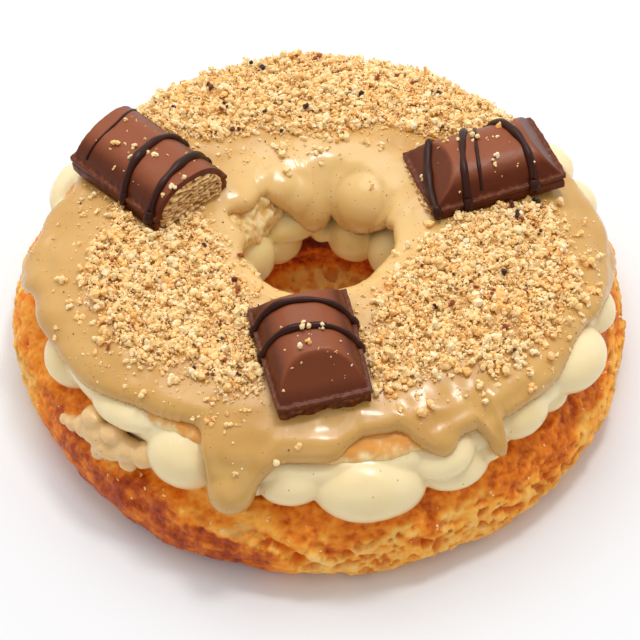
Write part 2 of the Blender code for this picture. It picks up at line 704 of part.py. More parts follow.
def apply_modifiers(item):
    """Replace an object's mesh by its evaluated mesh."""
    bpy.context.view_layer.update()
    mesh = bpy.data.meshes.new_from_object(item.evaluated_get(bpy.context.evaluated_depsgraph_get()))
    item.modifiers.clear()
    item.data = mesh
    mesh.name = item.name


def thin_out(item, triangles, grain=None):
    """Collapse short edges down to about a number of triangles, after an even remesh if asked."""
    if grain:
        step = item.modifiers.new("Remesh", "REMESH")
        step.mode = "VOXEL"
        step.voxel_size = grain
        apply_modifiers(item)
    count = sum(len(face.vertices) - 2 for face in item.data.polygons)
    step = item.modifiers.new("Decimate", "DECIMATE")
    step.ratio = min(1.0, triangles / count)
    step.use_collapse_triangulate = True
    apply_modifiers(item)


def combine(item, others, operation, solver="EXACT"):
    """Boolean of an object with a collection, applied and welded; the others are removed."""
    step = item.modifiers.new(operation.title(), "BOOLEAN")
    step.operation = operation
    step.operand_type = "COLLECTION"
    step.collection = others
    step.solver = solver
    apply_modifiers(item)
    bm = bmesh.new()
    bm.from_mesh(item.data)
    bmesh.ops.remove_doubles(bm, verts=bm.verts, dist=WELD)
    bm.to_mesh(item.data)
    bm.free()
    for other in list(others.objects):
        bpy.data.objects.remove(other, do_unlink=True)


def keep_largest(item):
    """Drop loose scraps, so that one body is left."""
    bm = bmesh.new()
    bm.from_mesh(item.data)
    bm.verts.ensure_lookup_table()
    left = set(bm.verts)
    bodies = []
    while left:
        stack = [left.pop()]
        body = set(stack)
        while stack:
            for edge in stack.pop().link_edges:
                for vertex in edge.verts:
                    if vertex in left:
                        left.discard(vertex)
                        body.add(vertex)
                        stack.append(vertex)
        bodies.append(body)
    bodies.sort(key=len, reverse=True)
    for body in bodies[1:]:
        bmesh.ops.delete(bm, geom=list(body), context="VERTS")
    bm.to_mesh(item.data)
    bm.free()


def bar_cutter(bar, group):
    """A box round a chocolate piece with the clearance added, to seat it in the glaze."""
    bm = bmesh.new()
    bmesh.ops.create_cube(bm, size=1.0)
    height = BAR_SLAB + BAR_DOME + GAP
    size = Matrix.Diagonal((bar.length + 2.0 * GAP, BAR_WIDTH + 2.0 * GAP, height, 1.0))
    move = Matrix.Translation((0.0, 0.0, height / 2.0 - BAR_SLAB - GAP))
    bmesh.ops.transform(bm, matrix=move @ size, verts=bm.verts)
    lay_down(bm, bar)
    return add_object(f"{bar.name}_seat", bm, None, group)


# ---------------------------------------------------------------- the cake

def build_bars(cake, work, chocolate, wafer):
    """The three chocolate pieces and the wafer that shows at two of their ends."""
    for bar in BARS:
        solid = bar_solid(bar, chocolate, cake)
        for index, line in enumerate(bar.drizzle):
            drizzle_tube(bar, line, index, work)
        combine(solid, work, "UNION")
    left, right = BARS[1], BARS[2]
    spans = {
        "wafer_left": (left, (-left.length / 2.0 + 6.0 * MM, left.length / 2.0 - 0.5 * MM),
                       lambda x, y: max(left.dome(x, y, WAFER_WALL), 0.3 * MM),
                       BAR_SLAB - 0.8 * MM),
        "wafer_right": (right, (-right.length / 2.0 + 1.4 * MM, right.length / 2.0 - 6.0 * MM),
                        lambda x, y: -0.9 * MM, BAR_SLAB - 0.9 * MM),
    }
    for name, (bar, x_range, top, depth) in spans.items():
        wafer_solid(bar, name, x_range, top, depth, 0.0, wafer, cake)
        open_end = 3.0 * MM
        cut = (x_range[0], x_range[1] + open_end)
        if name == "wafer_right":
            cut = (x_range[0] - open_end, x_range[1])
        wafer_solid(bar, f"{name}_room", cut, top, depth, GAP, None, work)
        combine(bpy.data.objects[bar.name], work, "DIFFERENCE")
        keep_largest(bpy.data.objects[bar.name])


def build_cake():
    """Make every piece of the cake."""
    clear_objects()
    cake = make_collection("king_cake")
    work = make_collection("cutters")
    crust = make_material("baked_brioche", (0.60, 0.26, 0.06), 0.7)
    crumb = make_material("brioche_crumb", (0.80, 0.56, 0.25), 0.8)
    cream = make_material("vanilla_pastry_cream", (0.88, 0.78, 0.52), 0.35)
    glaze_mat = make_material("hazelnut_glaze", (0.66, 0.44, 0.20), 0.25)
    chocolate = make_material("milk_chocolate", (0.14, 0.045, 0.02), 0.35)
    wafer = make_material("wafer_and_praline", (0.55, 0.33, 0.13), 0.8)

    ring("brioche_base", BASE_POINTS, base_section(0.0), crust, cake)
    ring("brioche_lid", LID_POINTS, lid_section(0.0), crumb, cake)
    build_bars(cake, work, chocolate, wafer)

    glaze = ring("hazelnut_glaze", GLAZE_POINTS, glaze_section(0.0), glaze_mat, cake)
    thin_out(glaze, GLAZE_TRIANGLES)
    bpy.context.view_layer.update()
    scatter_crumbs(glaze, work)
    combine(glaze, work, "UNION")
    for bar in BARS:
        bar_cutter(bar, work)
    combine(glaze, work, "DIFFERENCE")
    keep_largest(glaze)

    spill = spill_blob(SPILL_BLOBS[0], 0.0, 0, cake)
    spill.name = "glaze_spill"
    spill.data.materials.append(glaze_mat)
    for index, place in enumerate(SPILL_BLOBS[1:]):
        spill_blob(place, 0.0, index, work)
    combine(spill, work, "UNION")
    ring("base_room", BASE_POINTS, base_section(SOFT_GAP), None, work)
    ring("glaze_room", GLAZE_POINTS, glaze_section(SOFT_GAP), None, work)
    combine(spill, work, "DIFFERENCE")
    keep_largest(spill)
    thin_out(spill, SPILL_TRIANGLES)

    filling = ring("pastry_cream", CREAM_POINTS, cream_core_section, cream, cake)
    ring("roll", CREAM_POINTS, cream_roll_section, None, work)
    for index, place in enumerate(OUTER_DOLLOPS + INNER_DOLLOPS):
        dollop(place, index, work)
    combine(filling, work, "UNION")
    ring("base_room", BASE_POINTS, base_section(CREAM_GAP), None, work)
    ring("lid_room", LID_POINTS, lid_section(CREAM_GAP), None, work)
    ring("glaze_room", GLAZE_POINTS, glaze_section(CREAM_GAP), None, work)
    for index, place in enumerate(SPILL_BLOBS):
        spill_blob(place, CREAM_GAP, index, work)
    combine(filling, work, "DIFFERENCE", "MANIFOLD")
    keep_largest(filling)
    thin_out(filling, FILLING_TRIANGLES, CREAM_GRAIN)


build_cake()
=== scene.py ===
import math
import random

import bmesh
import bpy
import numpy as np
from mathutils import Euler, Matrix, Vector, noise
from mathutils.bvhtree import BVHTree


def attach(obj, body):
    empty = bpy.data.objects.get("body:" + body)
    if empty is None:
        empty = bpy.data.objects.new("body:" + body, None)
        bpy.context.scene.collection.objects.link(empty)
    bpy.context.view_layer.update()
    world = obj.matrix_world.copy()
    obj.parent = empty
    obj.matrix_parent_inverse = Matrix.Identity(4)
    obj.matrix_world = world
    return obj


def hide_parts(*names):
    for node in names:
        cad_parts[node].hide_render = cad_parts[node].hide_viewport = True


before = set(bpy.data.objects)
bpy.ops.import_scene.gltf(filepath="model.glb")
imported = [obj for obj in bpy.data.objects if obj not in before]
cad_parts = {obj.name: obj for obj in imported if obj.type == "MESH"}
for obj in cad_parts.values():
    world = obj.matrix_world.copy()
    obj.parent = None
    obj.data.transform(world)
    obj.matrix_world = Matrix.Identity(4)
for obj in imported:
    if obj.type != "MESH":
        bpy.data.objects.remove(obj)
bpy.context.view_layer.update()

# Lengths below are in millimetres and angles in degrees; a mesh gets metres when it is made.
# Azimuths run anticlockwise from +X, and the front of the cake faces -Y.
mm = 0.001

cake = {
    "baseRadius": 80.0, "holeRadius": 20.0, "lipRadius": 11.8, "baseHeight": 21.0,
    "creamTop": 28.1, "crownRadius": 46.0, "lidOuter": 68.0, "lidInner": 23.0,
    "glazeTop": 41.0, "glazeThickness": 2.6,
}


def linear(code):
    # An sRGB hex colour as linear red, green, blue and alpha
    parts = [int(code[i:i + 2], 16) / 255 for i in (1, 3, 5)]
    return tuple(p / 12.92 if p <= 0.04045 else ((p + 0.055) / 1.055) ** 2.4 for p in parts) + (1.0,)


def ease(value):
    value = np.clip(value, 0.0, 1.0)
    return value * value * (3.0 - 2.0 * value)


def turnBetween(a, b):
    return (a - b + 180.0) % 360.0 - 180.0


def bell(azimuth, centre, halfWidth):
    return np.exp(-(turnBetween(azimuth, centre) / halfWidth) ** 2)


def stationAt(stations, azimuth, column=1):
    # Eased between (azimuth, value) stations round the ring
    azimuth %= 360.0
    for here, there in zip(stations, stations[1:] + stations[:1]):
        span = (there[0] - here[0]) % 360.0
        step = (azimuth - here[0]) % 360.0
        if step <= span and span > 0.0:
            return here[column] + (there[column] - here[column]) * float(ease(step / span))
    return stations[0][column]


class Outline:
    # A smooth line through (radius, height) points, read at even steps of its weighted length
    def __init__(self, points, closed, weight=None, fineness=24):
        points = np.array(points, float)
        spans = len(points) if closed else len(points) - 1
        place = np.linspace(0.0, spans, spans * fineness + 1)
        index = np.minimum(place.astype(int), spans - 1)
        t = (place - index)[:, None]
        pick = (lambda k: points[k % len(points)]) if closed else (
            lambda k: points[np.clip(k, 0, len(points) - 1)])
        a, b, c, d = pick(index - 1), pick(index), pick(index + 1), pick(index + 2)
        self.points = 0.5 * (2 * b + (c - a) * t + (2 * a - 5 * b + 4 * c - d) * t ** 2
                             + (3 * b - a - 3 * c + d) * t ** 3)
        step = np.hypot(*np.diff(self.points, axis=0).T)
        if weight:
            step = step * weight(*((self.points[1:] + self.points[:-1]) / 2).T)
        length = np.concatenate([[0.0], np.cumsum(step)])
        self.shares = length / length[-1]
        slope = np.gradient(self.points, axis=0)
        slope /= np.maximum(np.hypot(*slope.T), 1e-9)[:, None]
        self.normals = np.stack([slope[:, 1], -slope[:, 0]], 1)  # on the right of the way it runs

    def at(self, share):
        return [np.interp(share, self.shares, self.points[:, k]) for k in (0, 1)]

    def normal(self, share):
        out = [np.interp(share, self.shares, self.normals[:, k]) for k in (0, 1)]
        size = np.maximum(np.hypot(*out), 1e-9)
        return out[0] / size, out[1] / size

    def shareWhere(self, test):
        found = np.nonzero(test(self.points[:, 0], self.points[:, 1]))[0]
        return self.shares[found[0]] if len(found) else 1.0


def noiseAt(points, size, seed, octaves=1):
    # Smooth uneven values from about -1 to 1, with lumps of a size in mm
    shift = Vector((seed, 2.0 * seed, -seed))
    scaled = points / np.array(size, np.float32)
    if octaves == 1:
        return np.array([noise.noise(Vector(p) + shift) for p in scaled])
    return np.array([noise.fractal(Vector(p) + shift, 0.9, 2.1, octaves) for p in scaled])


def lumpy(points, layers):
    # Lumps over one another, each layer with its size, seed and height
    return sum(tall * noiseAt(points, size, seed) for size, seed, tall in layers)


def cellsAt(points, size, seed):
    # Distance to the nearest cell middle and to the second nearest, and a random value a cell
    shift = Vector((seed, -seed, 3.0 * seed))
    out = np.empty((len(points), 3))
    for row, p in enumerate(points / np.array(size, np.float32)):
        reach, middles = noise.voronoi(Vector(p) + shift)
        out[row] = reach[0], reach[1], noise.cell(middles[0] * 7.3)
    return out.T


def addObject(name, data):
    item = bpy.data.objects.new(name, data)
    bpy.context.scene.collection.objects.link(item)
    return item


def meshFrom(name, bm):
    mesh = bpy.data.meshes.new(name)
    bm.to_mesh(mesh)
    bm.free()
    return mesh


def sheetOf(columns, rows, size=0.5):
    bm = bmesh.new()
    bmesh.ops.create_grid(bm, x_segments=columns, y_segments=rows, size=size)
    return bm


def applied(item):
    # The object's mesh with its modifiers worked in
    bpy.context.view_layer.update()
    mesh = bpy.data.meshes.new_from_object(item.evaluated_get(bpy.context.evaluated_depsgraph_get()))
    bpy.data.objects.remove(item)
    return mesh


def finishPiece(name, mesh, material, replaced=(), smooth=True):
    mesh.name = name
    mesh.materials.clear()
    mesh.materials.append(material)
    mesh.polygons.foreach_set("use_smooth", [smooth] * len(mesh.polygons))
    piece = addObject(name, mesh)
    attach(piece, "root")
    if replaced:
        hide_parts(*replaced)
    print("made", name, "with", sum(len(p.vertices) - 2 for p in mesh.polygons), "triangles")
    return piece


def setValues(mesh, name, values):
    layer = mesh.attributes.new(name, "FLOAT", "POINT")
    layer.data.foreach_set("value", np.asarray(values, np.float32))


def vectorsOf(mesh, key):
    flat = np.empty(len(mesh.vertices) * 3, np.float32)
    mesh.vertices.foreach_get(key, flat)
    return flat.reshape(-1, 3).astype(float)


def coordsOf(mesh):
    return vectorsOf(mesh, "co") / mm


def normalsOf(mesh):
    return vectorsOf(mesh, "normal")


def setCoords(mesh, points):
    mesh.vertices.foreach_set("co", (points * mm).astype(np.float32).ravel())
    mesh.update()


def moveAlong(mesh, directions, distance):
    setCoords(mesh, coordsOf(mesh) + directions * distance[:, None])


def polarOf(points):
    azimuth = np.degrees(np.arctan2(points[:, 1], points[:, 0])) % 360.0
    return np.hypot(points[:, 0], points[:, 1]), azimuth


def surfaceOf(mesh):
    # A mesh's points in mm with their normals, radii and azimuths
    points = coordsOf(mesh)
    return points, normalsOf(mesh), *polarOf(points)


def ringMesh(name, steps, rows, section):
    # A sheet rolled to a ring: section(azimuth, shares) gives radius and height in mm
    mesh = meshFrom(name, sheetOf(steps, rows))
    flat = coordsOf(mesh) * mm
    column = np.rint((flat[:, 0] + 0.5) * steps).astype(int) % steps
    row = np.rint((flat[:, 1] + 0.5) * rows).astype(int) % rows
    radius, height = np.empty((2, steps, rows))
    shares = np.arange(rows) / rows
    for step in range(steps):
        radius[step], height[step] = section(360.0 * step / steps, shares)
    turn = math.tau * column / steps
    reach = radius[column, row]
    setCoords(mesh, np.stack([reach * np.cos(turn), reach * np.sin(turn), height[column, row]], 1))
    bm = bmesh.new()
    bm.from_mesh(mesh)
    bmesh.ops.remove_doubles(bm, verts=bm.verts, dist=1e-7)
    bmesh.ops.recalc_face_normals(bm, faces=bm.faces)
    bpy.data.meshes.remove(mesh)
    return meshFrom(name, bm)


def setInputs(tree, node, inputs):
    # A value, a hex colour, or a link from a socket or from a node's first output in use
    for key, value in inputs.items():
        if isinstance(value, bpy.types.Node):
            value = next(socket for socket in value.outputs if socket.enabled)
        if isinstance(value, bpy.types.NodeSocket):
            tree.links.new(value, node.inputs[key])
        else:
            node.inputs[key].default_value = linear(value) if isinstance(value, str) else value


def addNode(tree, kind, settings=None, inputs=None):
    node = tree.nodes.new("ShaderNode" + kind)
    for key, value in (settings or {}).items():
        if key == "stops":
            while len(node.color_ramp.elements) < len(value):
                node.color_ramp.elements.new(0.5)
            for element, (position, colour) in zip(node.color_ramp.elements, value):
                element.position = position
                element.color = linear(colour)
        else:
            setattr(node, key, value)
    setInputs(tree, node, inputs or {})
    return node


rgbaMix, multiplying = {"data_type": "RGBA"}, {"operation": "MULTIPLY"}


def valueOn(tree, name):
    # What a mesh holds at each point under a name
    return addNode(tree, "Attribute", {"attribute_name": name}).outputs["Fac"]


def cloudAt(tree, coords, scale, detail):
    return addNode(tree, "TexNoise", None, {"Vector": coords, "Scale": scale, "Detail": detail})


def spread(tree, value, low, high, bottom, top):
    # A value's stretch from low to high laid out from bottom to top
    return addNode(tree, "MapRange", None, {0: value, 1: low, 2: high, 3: bottom, 4: top})


def mottled(tree, value, cloud, low, amount):
    # A value made uneven by a cloud, by an amount up and down
    shift = spread(tree, cloud, low, 1.0 - low, -amount, amount)
    return addNode(tree, "Math", {"operation": "ADD"}, {0: value, 1: shift})


def shades(tree, value, *stops):
    # Colours laid along a value
    return addNode(tree, "ValToRGB", {"stops": stops}, {0: value})


def tinted(tree, base, name, colour):
    # A base turning to a colour as the value on the mesh rises
    return addNode(tree, "Mix", rgbaMix, {"Factor": valueOn(tree, name), "A": base, "B": colour})


def bumpOf(tree, height, strength, distance):
    return addNode(tree, "Bump", None, {"Height": height, "Strength": strength, "Distance": distance * mm})


def flecked(tree, coords, base, scale, edge, above, strength, colour):
    # Small round flecks of a colour over a base, in those cells whose random value is above a limit
    cells = addNode(tree, "TexVoronoi", None, {"Vector": coords, "Scale": scale})
    size = spread(tree, cells, *edge, 1.0, 0.0)
    pick = addNode(tree, "SeparateColor", None, {0: cells.outputs["Color"]})
    some = addNode(tree, "Math", {"operation": "GREATER_THAN"}, {0: pick, 1: above})
    fleck = addNode(tree, "Math", multiplying, {0: size, 1: some})
    fleck = addNode(tree, "Math", multiplying, {0: fleck, 1: strength})
    return addNode(tree, "Mix", rgbaMix, {"Factor": fleck, "A": base, "B": colour})


def newMaterial(name, roughness, shine=0.5, subsurface=None, coat=0.0, ior=1.45):
    material = bpy.data.materials.new(name)
    material.use_nodes = True
    tree = material.node_tree
    shader = tree.nodes["Principled BSDF"]
    setInputs(tree, shader, {"Roughness": roughness, "Specular IOR Level": shine, "IOR": ior,
                             "Coat Weight": coat, "Coat Roughness": 0.12})
    if subsurface:
        weight, scale, radius = subsurface
        setInputs(tree, shader, {"Subsurface Weight": weight, "Subsurface Scale": scale * mm,
                                 "Subsurface Radius": radius})
    return material, tree, shader, addNode(tree, "TexCoord").outputs["Object"]


view = {"distance": 480.0, "elevation": 49.5, "lens": 100.85, "shift": (-0.0045, 0.018)}
studio = {
    "world": "#fffaf4", "floor": "#edf0f4",
    "front": 0.25, "above": 1.06,  # strength of the world in front and above
    "lamps": {  # name: place and size in metres, watts, colour
        "overheadSoftbox": ((0.11, 0.09, 0.60), 0.10, 0.95, "#fbfcff"),
        "broadSoftbox": ((-0.10, 0.20, 0.54), 0.36, 0.92, "#fbfcff"),
        "lowFrontSoftbox": ((-0.06, -0.48, 0.30), 0.40, 0.32, "#fffdf9"),
    },
}


def makeStudio():
    camera = addObject("camera", bpy.data.cameras.new("camera"))
    tilt = math.radians(view["elevation"])
    camera.location = (0.0, -view["distance"] * mm * math.cos(tilt), view["distance"] * mm * math.sin(tilt))
    camera.rotation_euler = (math.pi / 2 - tilt, 0.0, 0.0)
    camera.data.lens = view["lens"]
    camera.data.shift_x, camera.data.shift_y = view["shift"]
    bpy.context.scene.camera = camera

    world = bpy.data.worlds.new("studio")
    world.use_nodes = True
    tree = world.node_tree
    direction = addNode(tree, "TexCoord").outputs["Generated"]
    backward = addNode(tree, "SeparateXYZ", None, {0: direction}).outputs["Y"]
    strength = spread(tree, backward, -0.9, 0.5, studio["front"], studio["above"])
    setInputs(tree, tree.nodes["Background"], {"Color": studio["world"], "Strength": strength})
    bpy.context.scene.world = world
    bpy.context.scene.view_settings.view_transform = "Standard"

    for name, (place, size, watts, colour) in studio["lamps"].items():
        lamp = bpy.data.lights.new(name, "AREA")
        lamp.size, lamp.energy, lamp.color = size, watts, linear(colour)[:3]
        item = addObject(name, lamp)
        item.location = place
        item.rotation_euler = (Vector((0.0, 0.0, 0.02)) - Vector(place)).to_track_quat("-Z", "Y").to_euler()

    floor = addObject("floor", meshFrom("floor", sheetOf(1, 1, 3.0)))
    floor.data.materials.append(paperMaterial())


def paperMaterial():
    # White paper sweep: plain, matt and even, so that only the cake and its shadow show
    material, tree, shader, _ = newMaterial("white_paper_sweep", 0.9, 0.0)
    setInputs(tree, shader, {"Base Color": studio["floor"]})
    return material


makeStudio()
print("camera, light and floor are set")


# The base bun: the lower half, whose side shows and whose core is under the cream
baseBun = {
    "sideSteps": 1380, "sideRows": 69, "coreSteps": 560, "coreRows": 76,
    "swell": [(182.0, 18.0, 1.8), (355.0, 22.0, -1.5)],  # bulges: azimuth, half width, height
    "tear": [(226.0, 20.5), (246.0, 19.5), (260.0, 16.0), (276.0, 5.0)],  # azimuth, height
    "tearDepth": 2.2, "tearHalf": 1.3, "tearFade": 8.0,
    "darkSkin": (198.0, 270.0, 14.0),  # azimuths of the smooth dark crust, and its fade
    "lumps": [((15.0, 15.0, 9.0), 3.0, 1.0), ((6.5, 6.5, 4.0), 9.0, 0.7)],  # size, seed, height
    "pores": [((3.4, 3.4, 2.0), 5.0, 1.7, 0.62), ((1.9, 1.9, 1.2), 8.0, 0.9, 0.60)],  # and reach
    "skin": (1.9, 0.34),  # bumps of the smooth crust: size, height
    "seam": 60.0,  # where the side meets the core, under the cream
}


def sideOutline():
    outer, top, seam = cake["baseRadius"], cake["baseHeight"], baseBun["seam"]
    return Outline([
        (outer - 5.0, 0.4), (outer - 1.8, 3.0), (outer - 0.3, 7.0), (outer, 11.0),
        (outer - 2.2, 16.5), (outer - 7.5, 20.5), (outer - 12.0, top), (seam + 2.0, top),
        (seam, top - 2.0), (seam, 2.0), (seam + 2.0, 0.0), (outer - 12.0, 0.0),
    ], True, lambda radius, height: np.where((radius > 67.0) & (height > 0.2), 8.0, 0.7))


def coreOutline():
    hole, lip, top, seam = cake["holeRadius"], cake["lipRadius"], cake["baseHeight"], baseBun["seam"] + 3.0
    return Outline([
        (seam, 2.5), (seam, top - 2.5), (seam - 2.5, top - 0.3), (cake["crownRadius"], top - 0.2),
        (hole + 9.0, top), (hole + 3.5, 18.5), (hole + 0.8, 13.0), (hole, 7.0), (hole - 1.0, 4.6),
        (lip + 2.0, 3.6), (lip, 2.2), (lip + 1.6, 0.0), (hole + 4.0, 0.0), (cake["crownRadius"], 0.0),
        (seam - 2.5, 0.0),
    ], True, lambda radius, height: np.where((radius < 27.0) & (height > 0.2), 4.0, 0.5))


def bakeRelief(mesh):
    # Lumps, crags, torn pores and the tear of the crust, and how dark each place is baked, with painted shade
    # in the pores and painted light on their walls
    points, normals, radius, azimuth = surfaceOf(mesh)
    height = points[:, 2]
    outer, inner = ease((radius - 64.0) / 7.0), ease((30.0 - radius) / 8.0)

    # The tear runs from the left shoulder down to the front foot, over a smooth dark crust
    stations = np.array(baseBun["tear"]).T
    ends = ease(np.minimum(azimuth - stations[0, 0], stations[0, -1] - azimuth) / baseBun["tearFade"])
    line = np.interp(azimuth, *stations)
    patch = noiseAt(points, (13.0, 13.0, 8.0), 31.0, 3)
    start, end, fade = baseBun["darkSkin"]
    skin = ease((line - 1.5 - height + 2.0 * patch) / 2.0)
    skin = skin * ease((azimuth - start) / fade) * ease((end - azimuth) / fade)
    shoulder = ease((height - 14.5 + 5.0 * patch) / 2.5)
    lip = np.exp(-((height - line - 2.2) / 1.9) ** 2) * ends
    torn = outer * (1.0 - 0.9 * skin) * (1.0 - 0.75 * shoulder) * ease(1.1 + 1.4 * patch)
    porous = np.maximum(torn, 0.7 * inner) * ease(height / 1.5)

    relief = lumpy(points, baseBun["lumps"])
    crag = 1.0 - 2.0 * np.abs(noiseAt(points, (7.0, 7.0, 3.0), 33.0, 3))
    relief += 0.55 * crag * (1.0 - 0.7 * skin) - 0.35
    pit = np.zeros(len(points))
    bent = points + 0.7 * np.stack([noiseAt(points, 2.2, seed) for seed in (61.0, 62.0, 63.0)], 1)
    for size, seed, deep, reach in baseBun["pores"]:
        near, _, pick = cellsAt(bent, size, seed)
        hollow = np.sqrt(np.clip(1.0 - (near / (reach * (0.6 + 0.55 * pick))) ** 2, 0.0, 1.0))
        hollow *= ease((pick - 0.12) / 0.1) * porous
        relief -= deep * hollow
        pit = np.maximum(pit, hollow)
    size, tall = baseBun["skin"]
    bumps = noiseAt(points, size, 12.0, 3)
    relief += tall * bumps * (1.0 - 0.5 * porous)
    relief = relief * np.maximum(outer, inner) + 0.45 * porous
    relief -= baseBun["tearDepth"] * np.exp(-((height - line) / baseBun["tearHalf"]) ** 2) * ends * outer
    relief += 0.6 * lip * outer
    moveAlong(mesh, normals, relief * ease(height / 1.2 + 0.15))
    points = coordsOf(mesh)
    points[:, 2] = np.maximum(points[:, 2], 0.0)
    setCoords(mesh, points)

    bake = 0.32 + 0.10 * patch + 0.09 * noiseAt(points, 2.6, 17.0, 3) - 0.10 * bumps
    # Painted light: the walls between the pores are made paler than the pits
    bake -= 0.10 * porous * (1.0 - pit)
    bake += 0.30 * shoulder * (1.0 - skin) + 0.46 * skin * (1.0 + 0.4 * noiseAt(points, 5.0, 4.0, 2))
    bake += 0.12 * ease((3.0 - height) / 3.0) * (1.0 - skin) - 0.30 * lip - 0.12 * crag * (1.0 - skin)
    # Darker round the right and paler at the left, darker up the wall of the hole and paler at its ledge
    bake += 0.08 * bell(azimuth, 330.0, 40.0) - 0.12 * bell(azimuth, 198.0, 24.0)
    bake += 0.50 * inner * ease((height - 4.0) / 3.0) - 0.16 * inner * ease((5.2 - height) / 1.5)
    setValues(mesh, "bake", np.clip(bake, 0.0, 1.0))
    # The pore mark carries painted shade into the pits of the crust
    setValues(mesh, "pit", np.clip(pit, 0.0, 1.0))


def makeBase():
    side, core = sideOutline(), coreOutline()

    def sideSection(azimuth, share):
        radius, height = side.at(share)
        swell = sum(tall * bell(azimuth, middle, half) for middle, half, tall in baseBun["swell"])
        swell += 0.7 * math.sin(math.radians(3.0 * azimuth + 40.0)) - 0.5
        return radius + swell * ease((radius - 63.0) / 8.0), height

    def coreSection(azimuth, share):
        return core.at(share)

    crust = crustMaterial()
    pieces = []
    for name, steps, rows, section, replaced in [
            ("crust_side", baseBun["sideSteps"], baseBun["sideRows"], sideSection, ["brioche_base"]),
            ("crust_core", baseBun["coreSteps"], baseBun["coreRows"], coreSection, [])]:
        mesh = ringMesh(name, steps, rows, section)
        bakeRelief(mesh)
        pieces.append(finishPiece(name, mesh, crust, replaced))
    return pieces[0]


def crustMaterial():
    # Egg-washed brioche crust: amber to red brown, shiny where it is smooth, dull in the torn pores, where
    # painted shade darkens the pits
    material, tree, shader, coords = newMaterial("egg_washed_brioche_crust", 0.5, 0.25)
    grain, blotch = cloudAt(tree, coords, 900.0, 5.0), cloudAt(tree, coords, 190.0, 4.0)
    tone = mottled(tree, mottled(tree, valueOn(tree, "bake"), blotch, 0.25, 0.08), grain, 0.3, 0.08)
    colour = shades(tree, tone, (0.0, "#ffd27a"), (0.26, "#ffb246"), (0.52, "#f48b22"), (0.78, "#b84a08"),
                    (1.0, "#742406"))
    # Painted shade: the pits of the pores are darkened
    part = addNode(tree, "Math", multiplying, {0: valueOn(tree, "pit"), 1: 0.75})
    deep = addNode(tree, "Mix", {"data_type": "RGBA", "blend_type": "MULTIPLY"},
                   {"Factor": part, "A": colour, "B": "#d07426"})
    setInputs(tree, shader, {"Base Color": deep, "Roughness": spread(tree, tone, 0.3, 0.95, 0.62, 0.34),
                             "Normal": bumpOf(tree, grain, 0.6, 0.3)})
    return material


basePiece = makeBase()
print("base bun is made")


# The lid bun: the upper half, torn where it shows in the hole and at the front
lidBun = {
    "steps": 620, "rows": 110,
    "outline": [
        (10.0, 0.5), (50.0, -2.0), (95.0, 0.5), (140.0, 0.3), (184.0, 2.6), (225.0, 0.2), (270.0, -0.4),
        (330.0, 0.6)],
    "torn": (143.0, 30.0), "tornDepth": 1.4,  # azimuth and half width of the torn wall
    "sag": (142.0, 30.0), "sagIn": 2.6, "sagDown": 4.5,  # and of where it sags into the hole, and how far
}


def makeLid():
    outerEdge, innerEdge, crown = cake["lidOuter"], cake["lidInner"], cake["crownRadius"]
    outline = Outline([
        (outerEdge, 32.2), (outerEdge - 1.6, 34.8), (outerEdge - 7.0, 36.6), (crown + 6.0, 37.4),
        (crown - 8.0, 37.4), (innerEdge + 4.0, 36.8), (innerEdge, 33.0), (innerEdge + 1.5, 29.6),
        (crown, 28.4), (outerEdge - 3.0, 28.8),
    ], True, lambda radius, height: np.where(radius > 62.0, 3.0, np.where(radius < 29.0, 5.0, 0.6)))

    def section(azimuth, share):
        radius, height = outline.at(share)
        rightward, upward = outline.normal(share)
        outer, inner = ease((radius - 55.0) / 10.0), ease((32.0 - radius) / 6.0)
        push = inner * bell(azimuth, *lidBun["torn"]) * ease((36.2 - height) / 2.0) * lidBun["tornDepth"]
        sag = inner * bell(azimuth, *lidBun["sag"]) * ease((35.0 - height) / 5.0)
        radius = radius + push * rightward + outer * stationAt(lidBun["outline"], azimuth)
        radius = radius - lidBun["sagIn"] * sag
        return radius, height + push * upward - lidBun["sagDown"] * sag

    mesh = ringMesh("torn_lid", lidBun["steps"], lidBun["rows"], section)
    points, normals, radius, azimuth = surfaceOf(mesh)
    height = points[:, 2]
    outer, inner = ease((radius - 60.0) / 5.0), ease((33.0 - radius) / 5.0)
    torn = inner * np.maximum(bell(azimuth, *lidBun["torn"]), 0.3) * ease((36.6 - height) / 2.0)
    crags = noiseAt(points, 2.8, 6.0, 4)
    near, second, pick = cellsAt(points, (2.4, 2.4, 1.7), 2.0)
    hollow = ease((second - near) / 0.4) * ease((pick - 0.2) / 0.3)
    relief = torn * (1.5 * crags - 0.7 * hollow) + outer * (0.5 * noiseAt(points, 7.0, 5.0) + 0.45 * crags)
    moveAlong(mesh, normals, relief)
    # Painted shade: the hollows of the torn crumb are marked to be painted deeper golden
    setValues(mesh, "hollow", hollow * np.maximum(torn, 0.4 * outer))
    setValues(mesh, "skin", outer * ease((height - 32.6 + 2.0 * crags) / 2.4))
    return finishPiece("torn_lid", mesh, crumbMaterial(), ["brioche_lid"])


def crumbMaterial():
    # Torn brioche crumb: pale butter yellow, dull and airy, golden at its baked skin, with painted shade
    # deeper golden in its hollows
    milky = (0.12, 0.8, (1.0, 0.75, 0.5))
    material, tree, shader, coords = newMaterial("torn_brioche_crumb", 0.75, 0.5, milky)
    grain = cloudAt(tree, coords, 700.0, 4.0)
    colour = shades(tree, grain, (0.3, "#f6cc82"), (0.5, "#ffdf9e"), (0.72, "#fff0c4"))
    # Painted shade deeper golden in the hollows; the baked skin is real
    colour = tinted(tree, tinted(tree, colour, "hollow", "#f0b860"), "skin", "#e8a04a")
    setInputs(tree, shader, {"Base Color": colour, "Normal": bumpOf(tree, grain, 0.5, 0.3)})
    return material


makeLid()
print("lid bun is made")


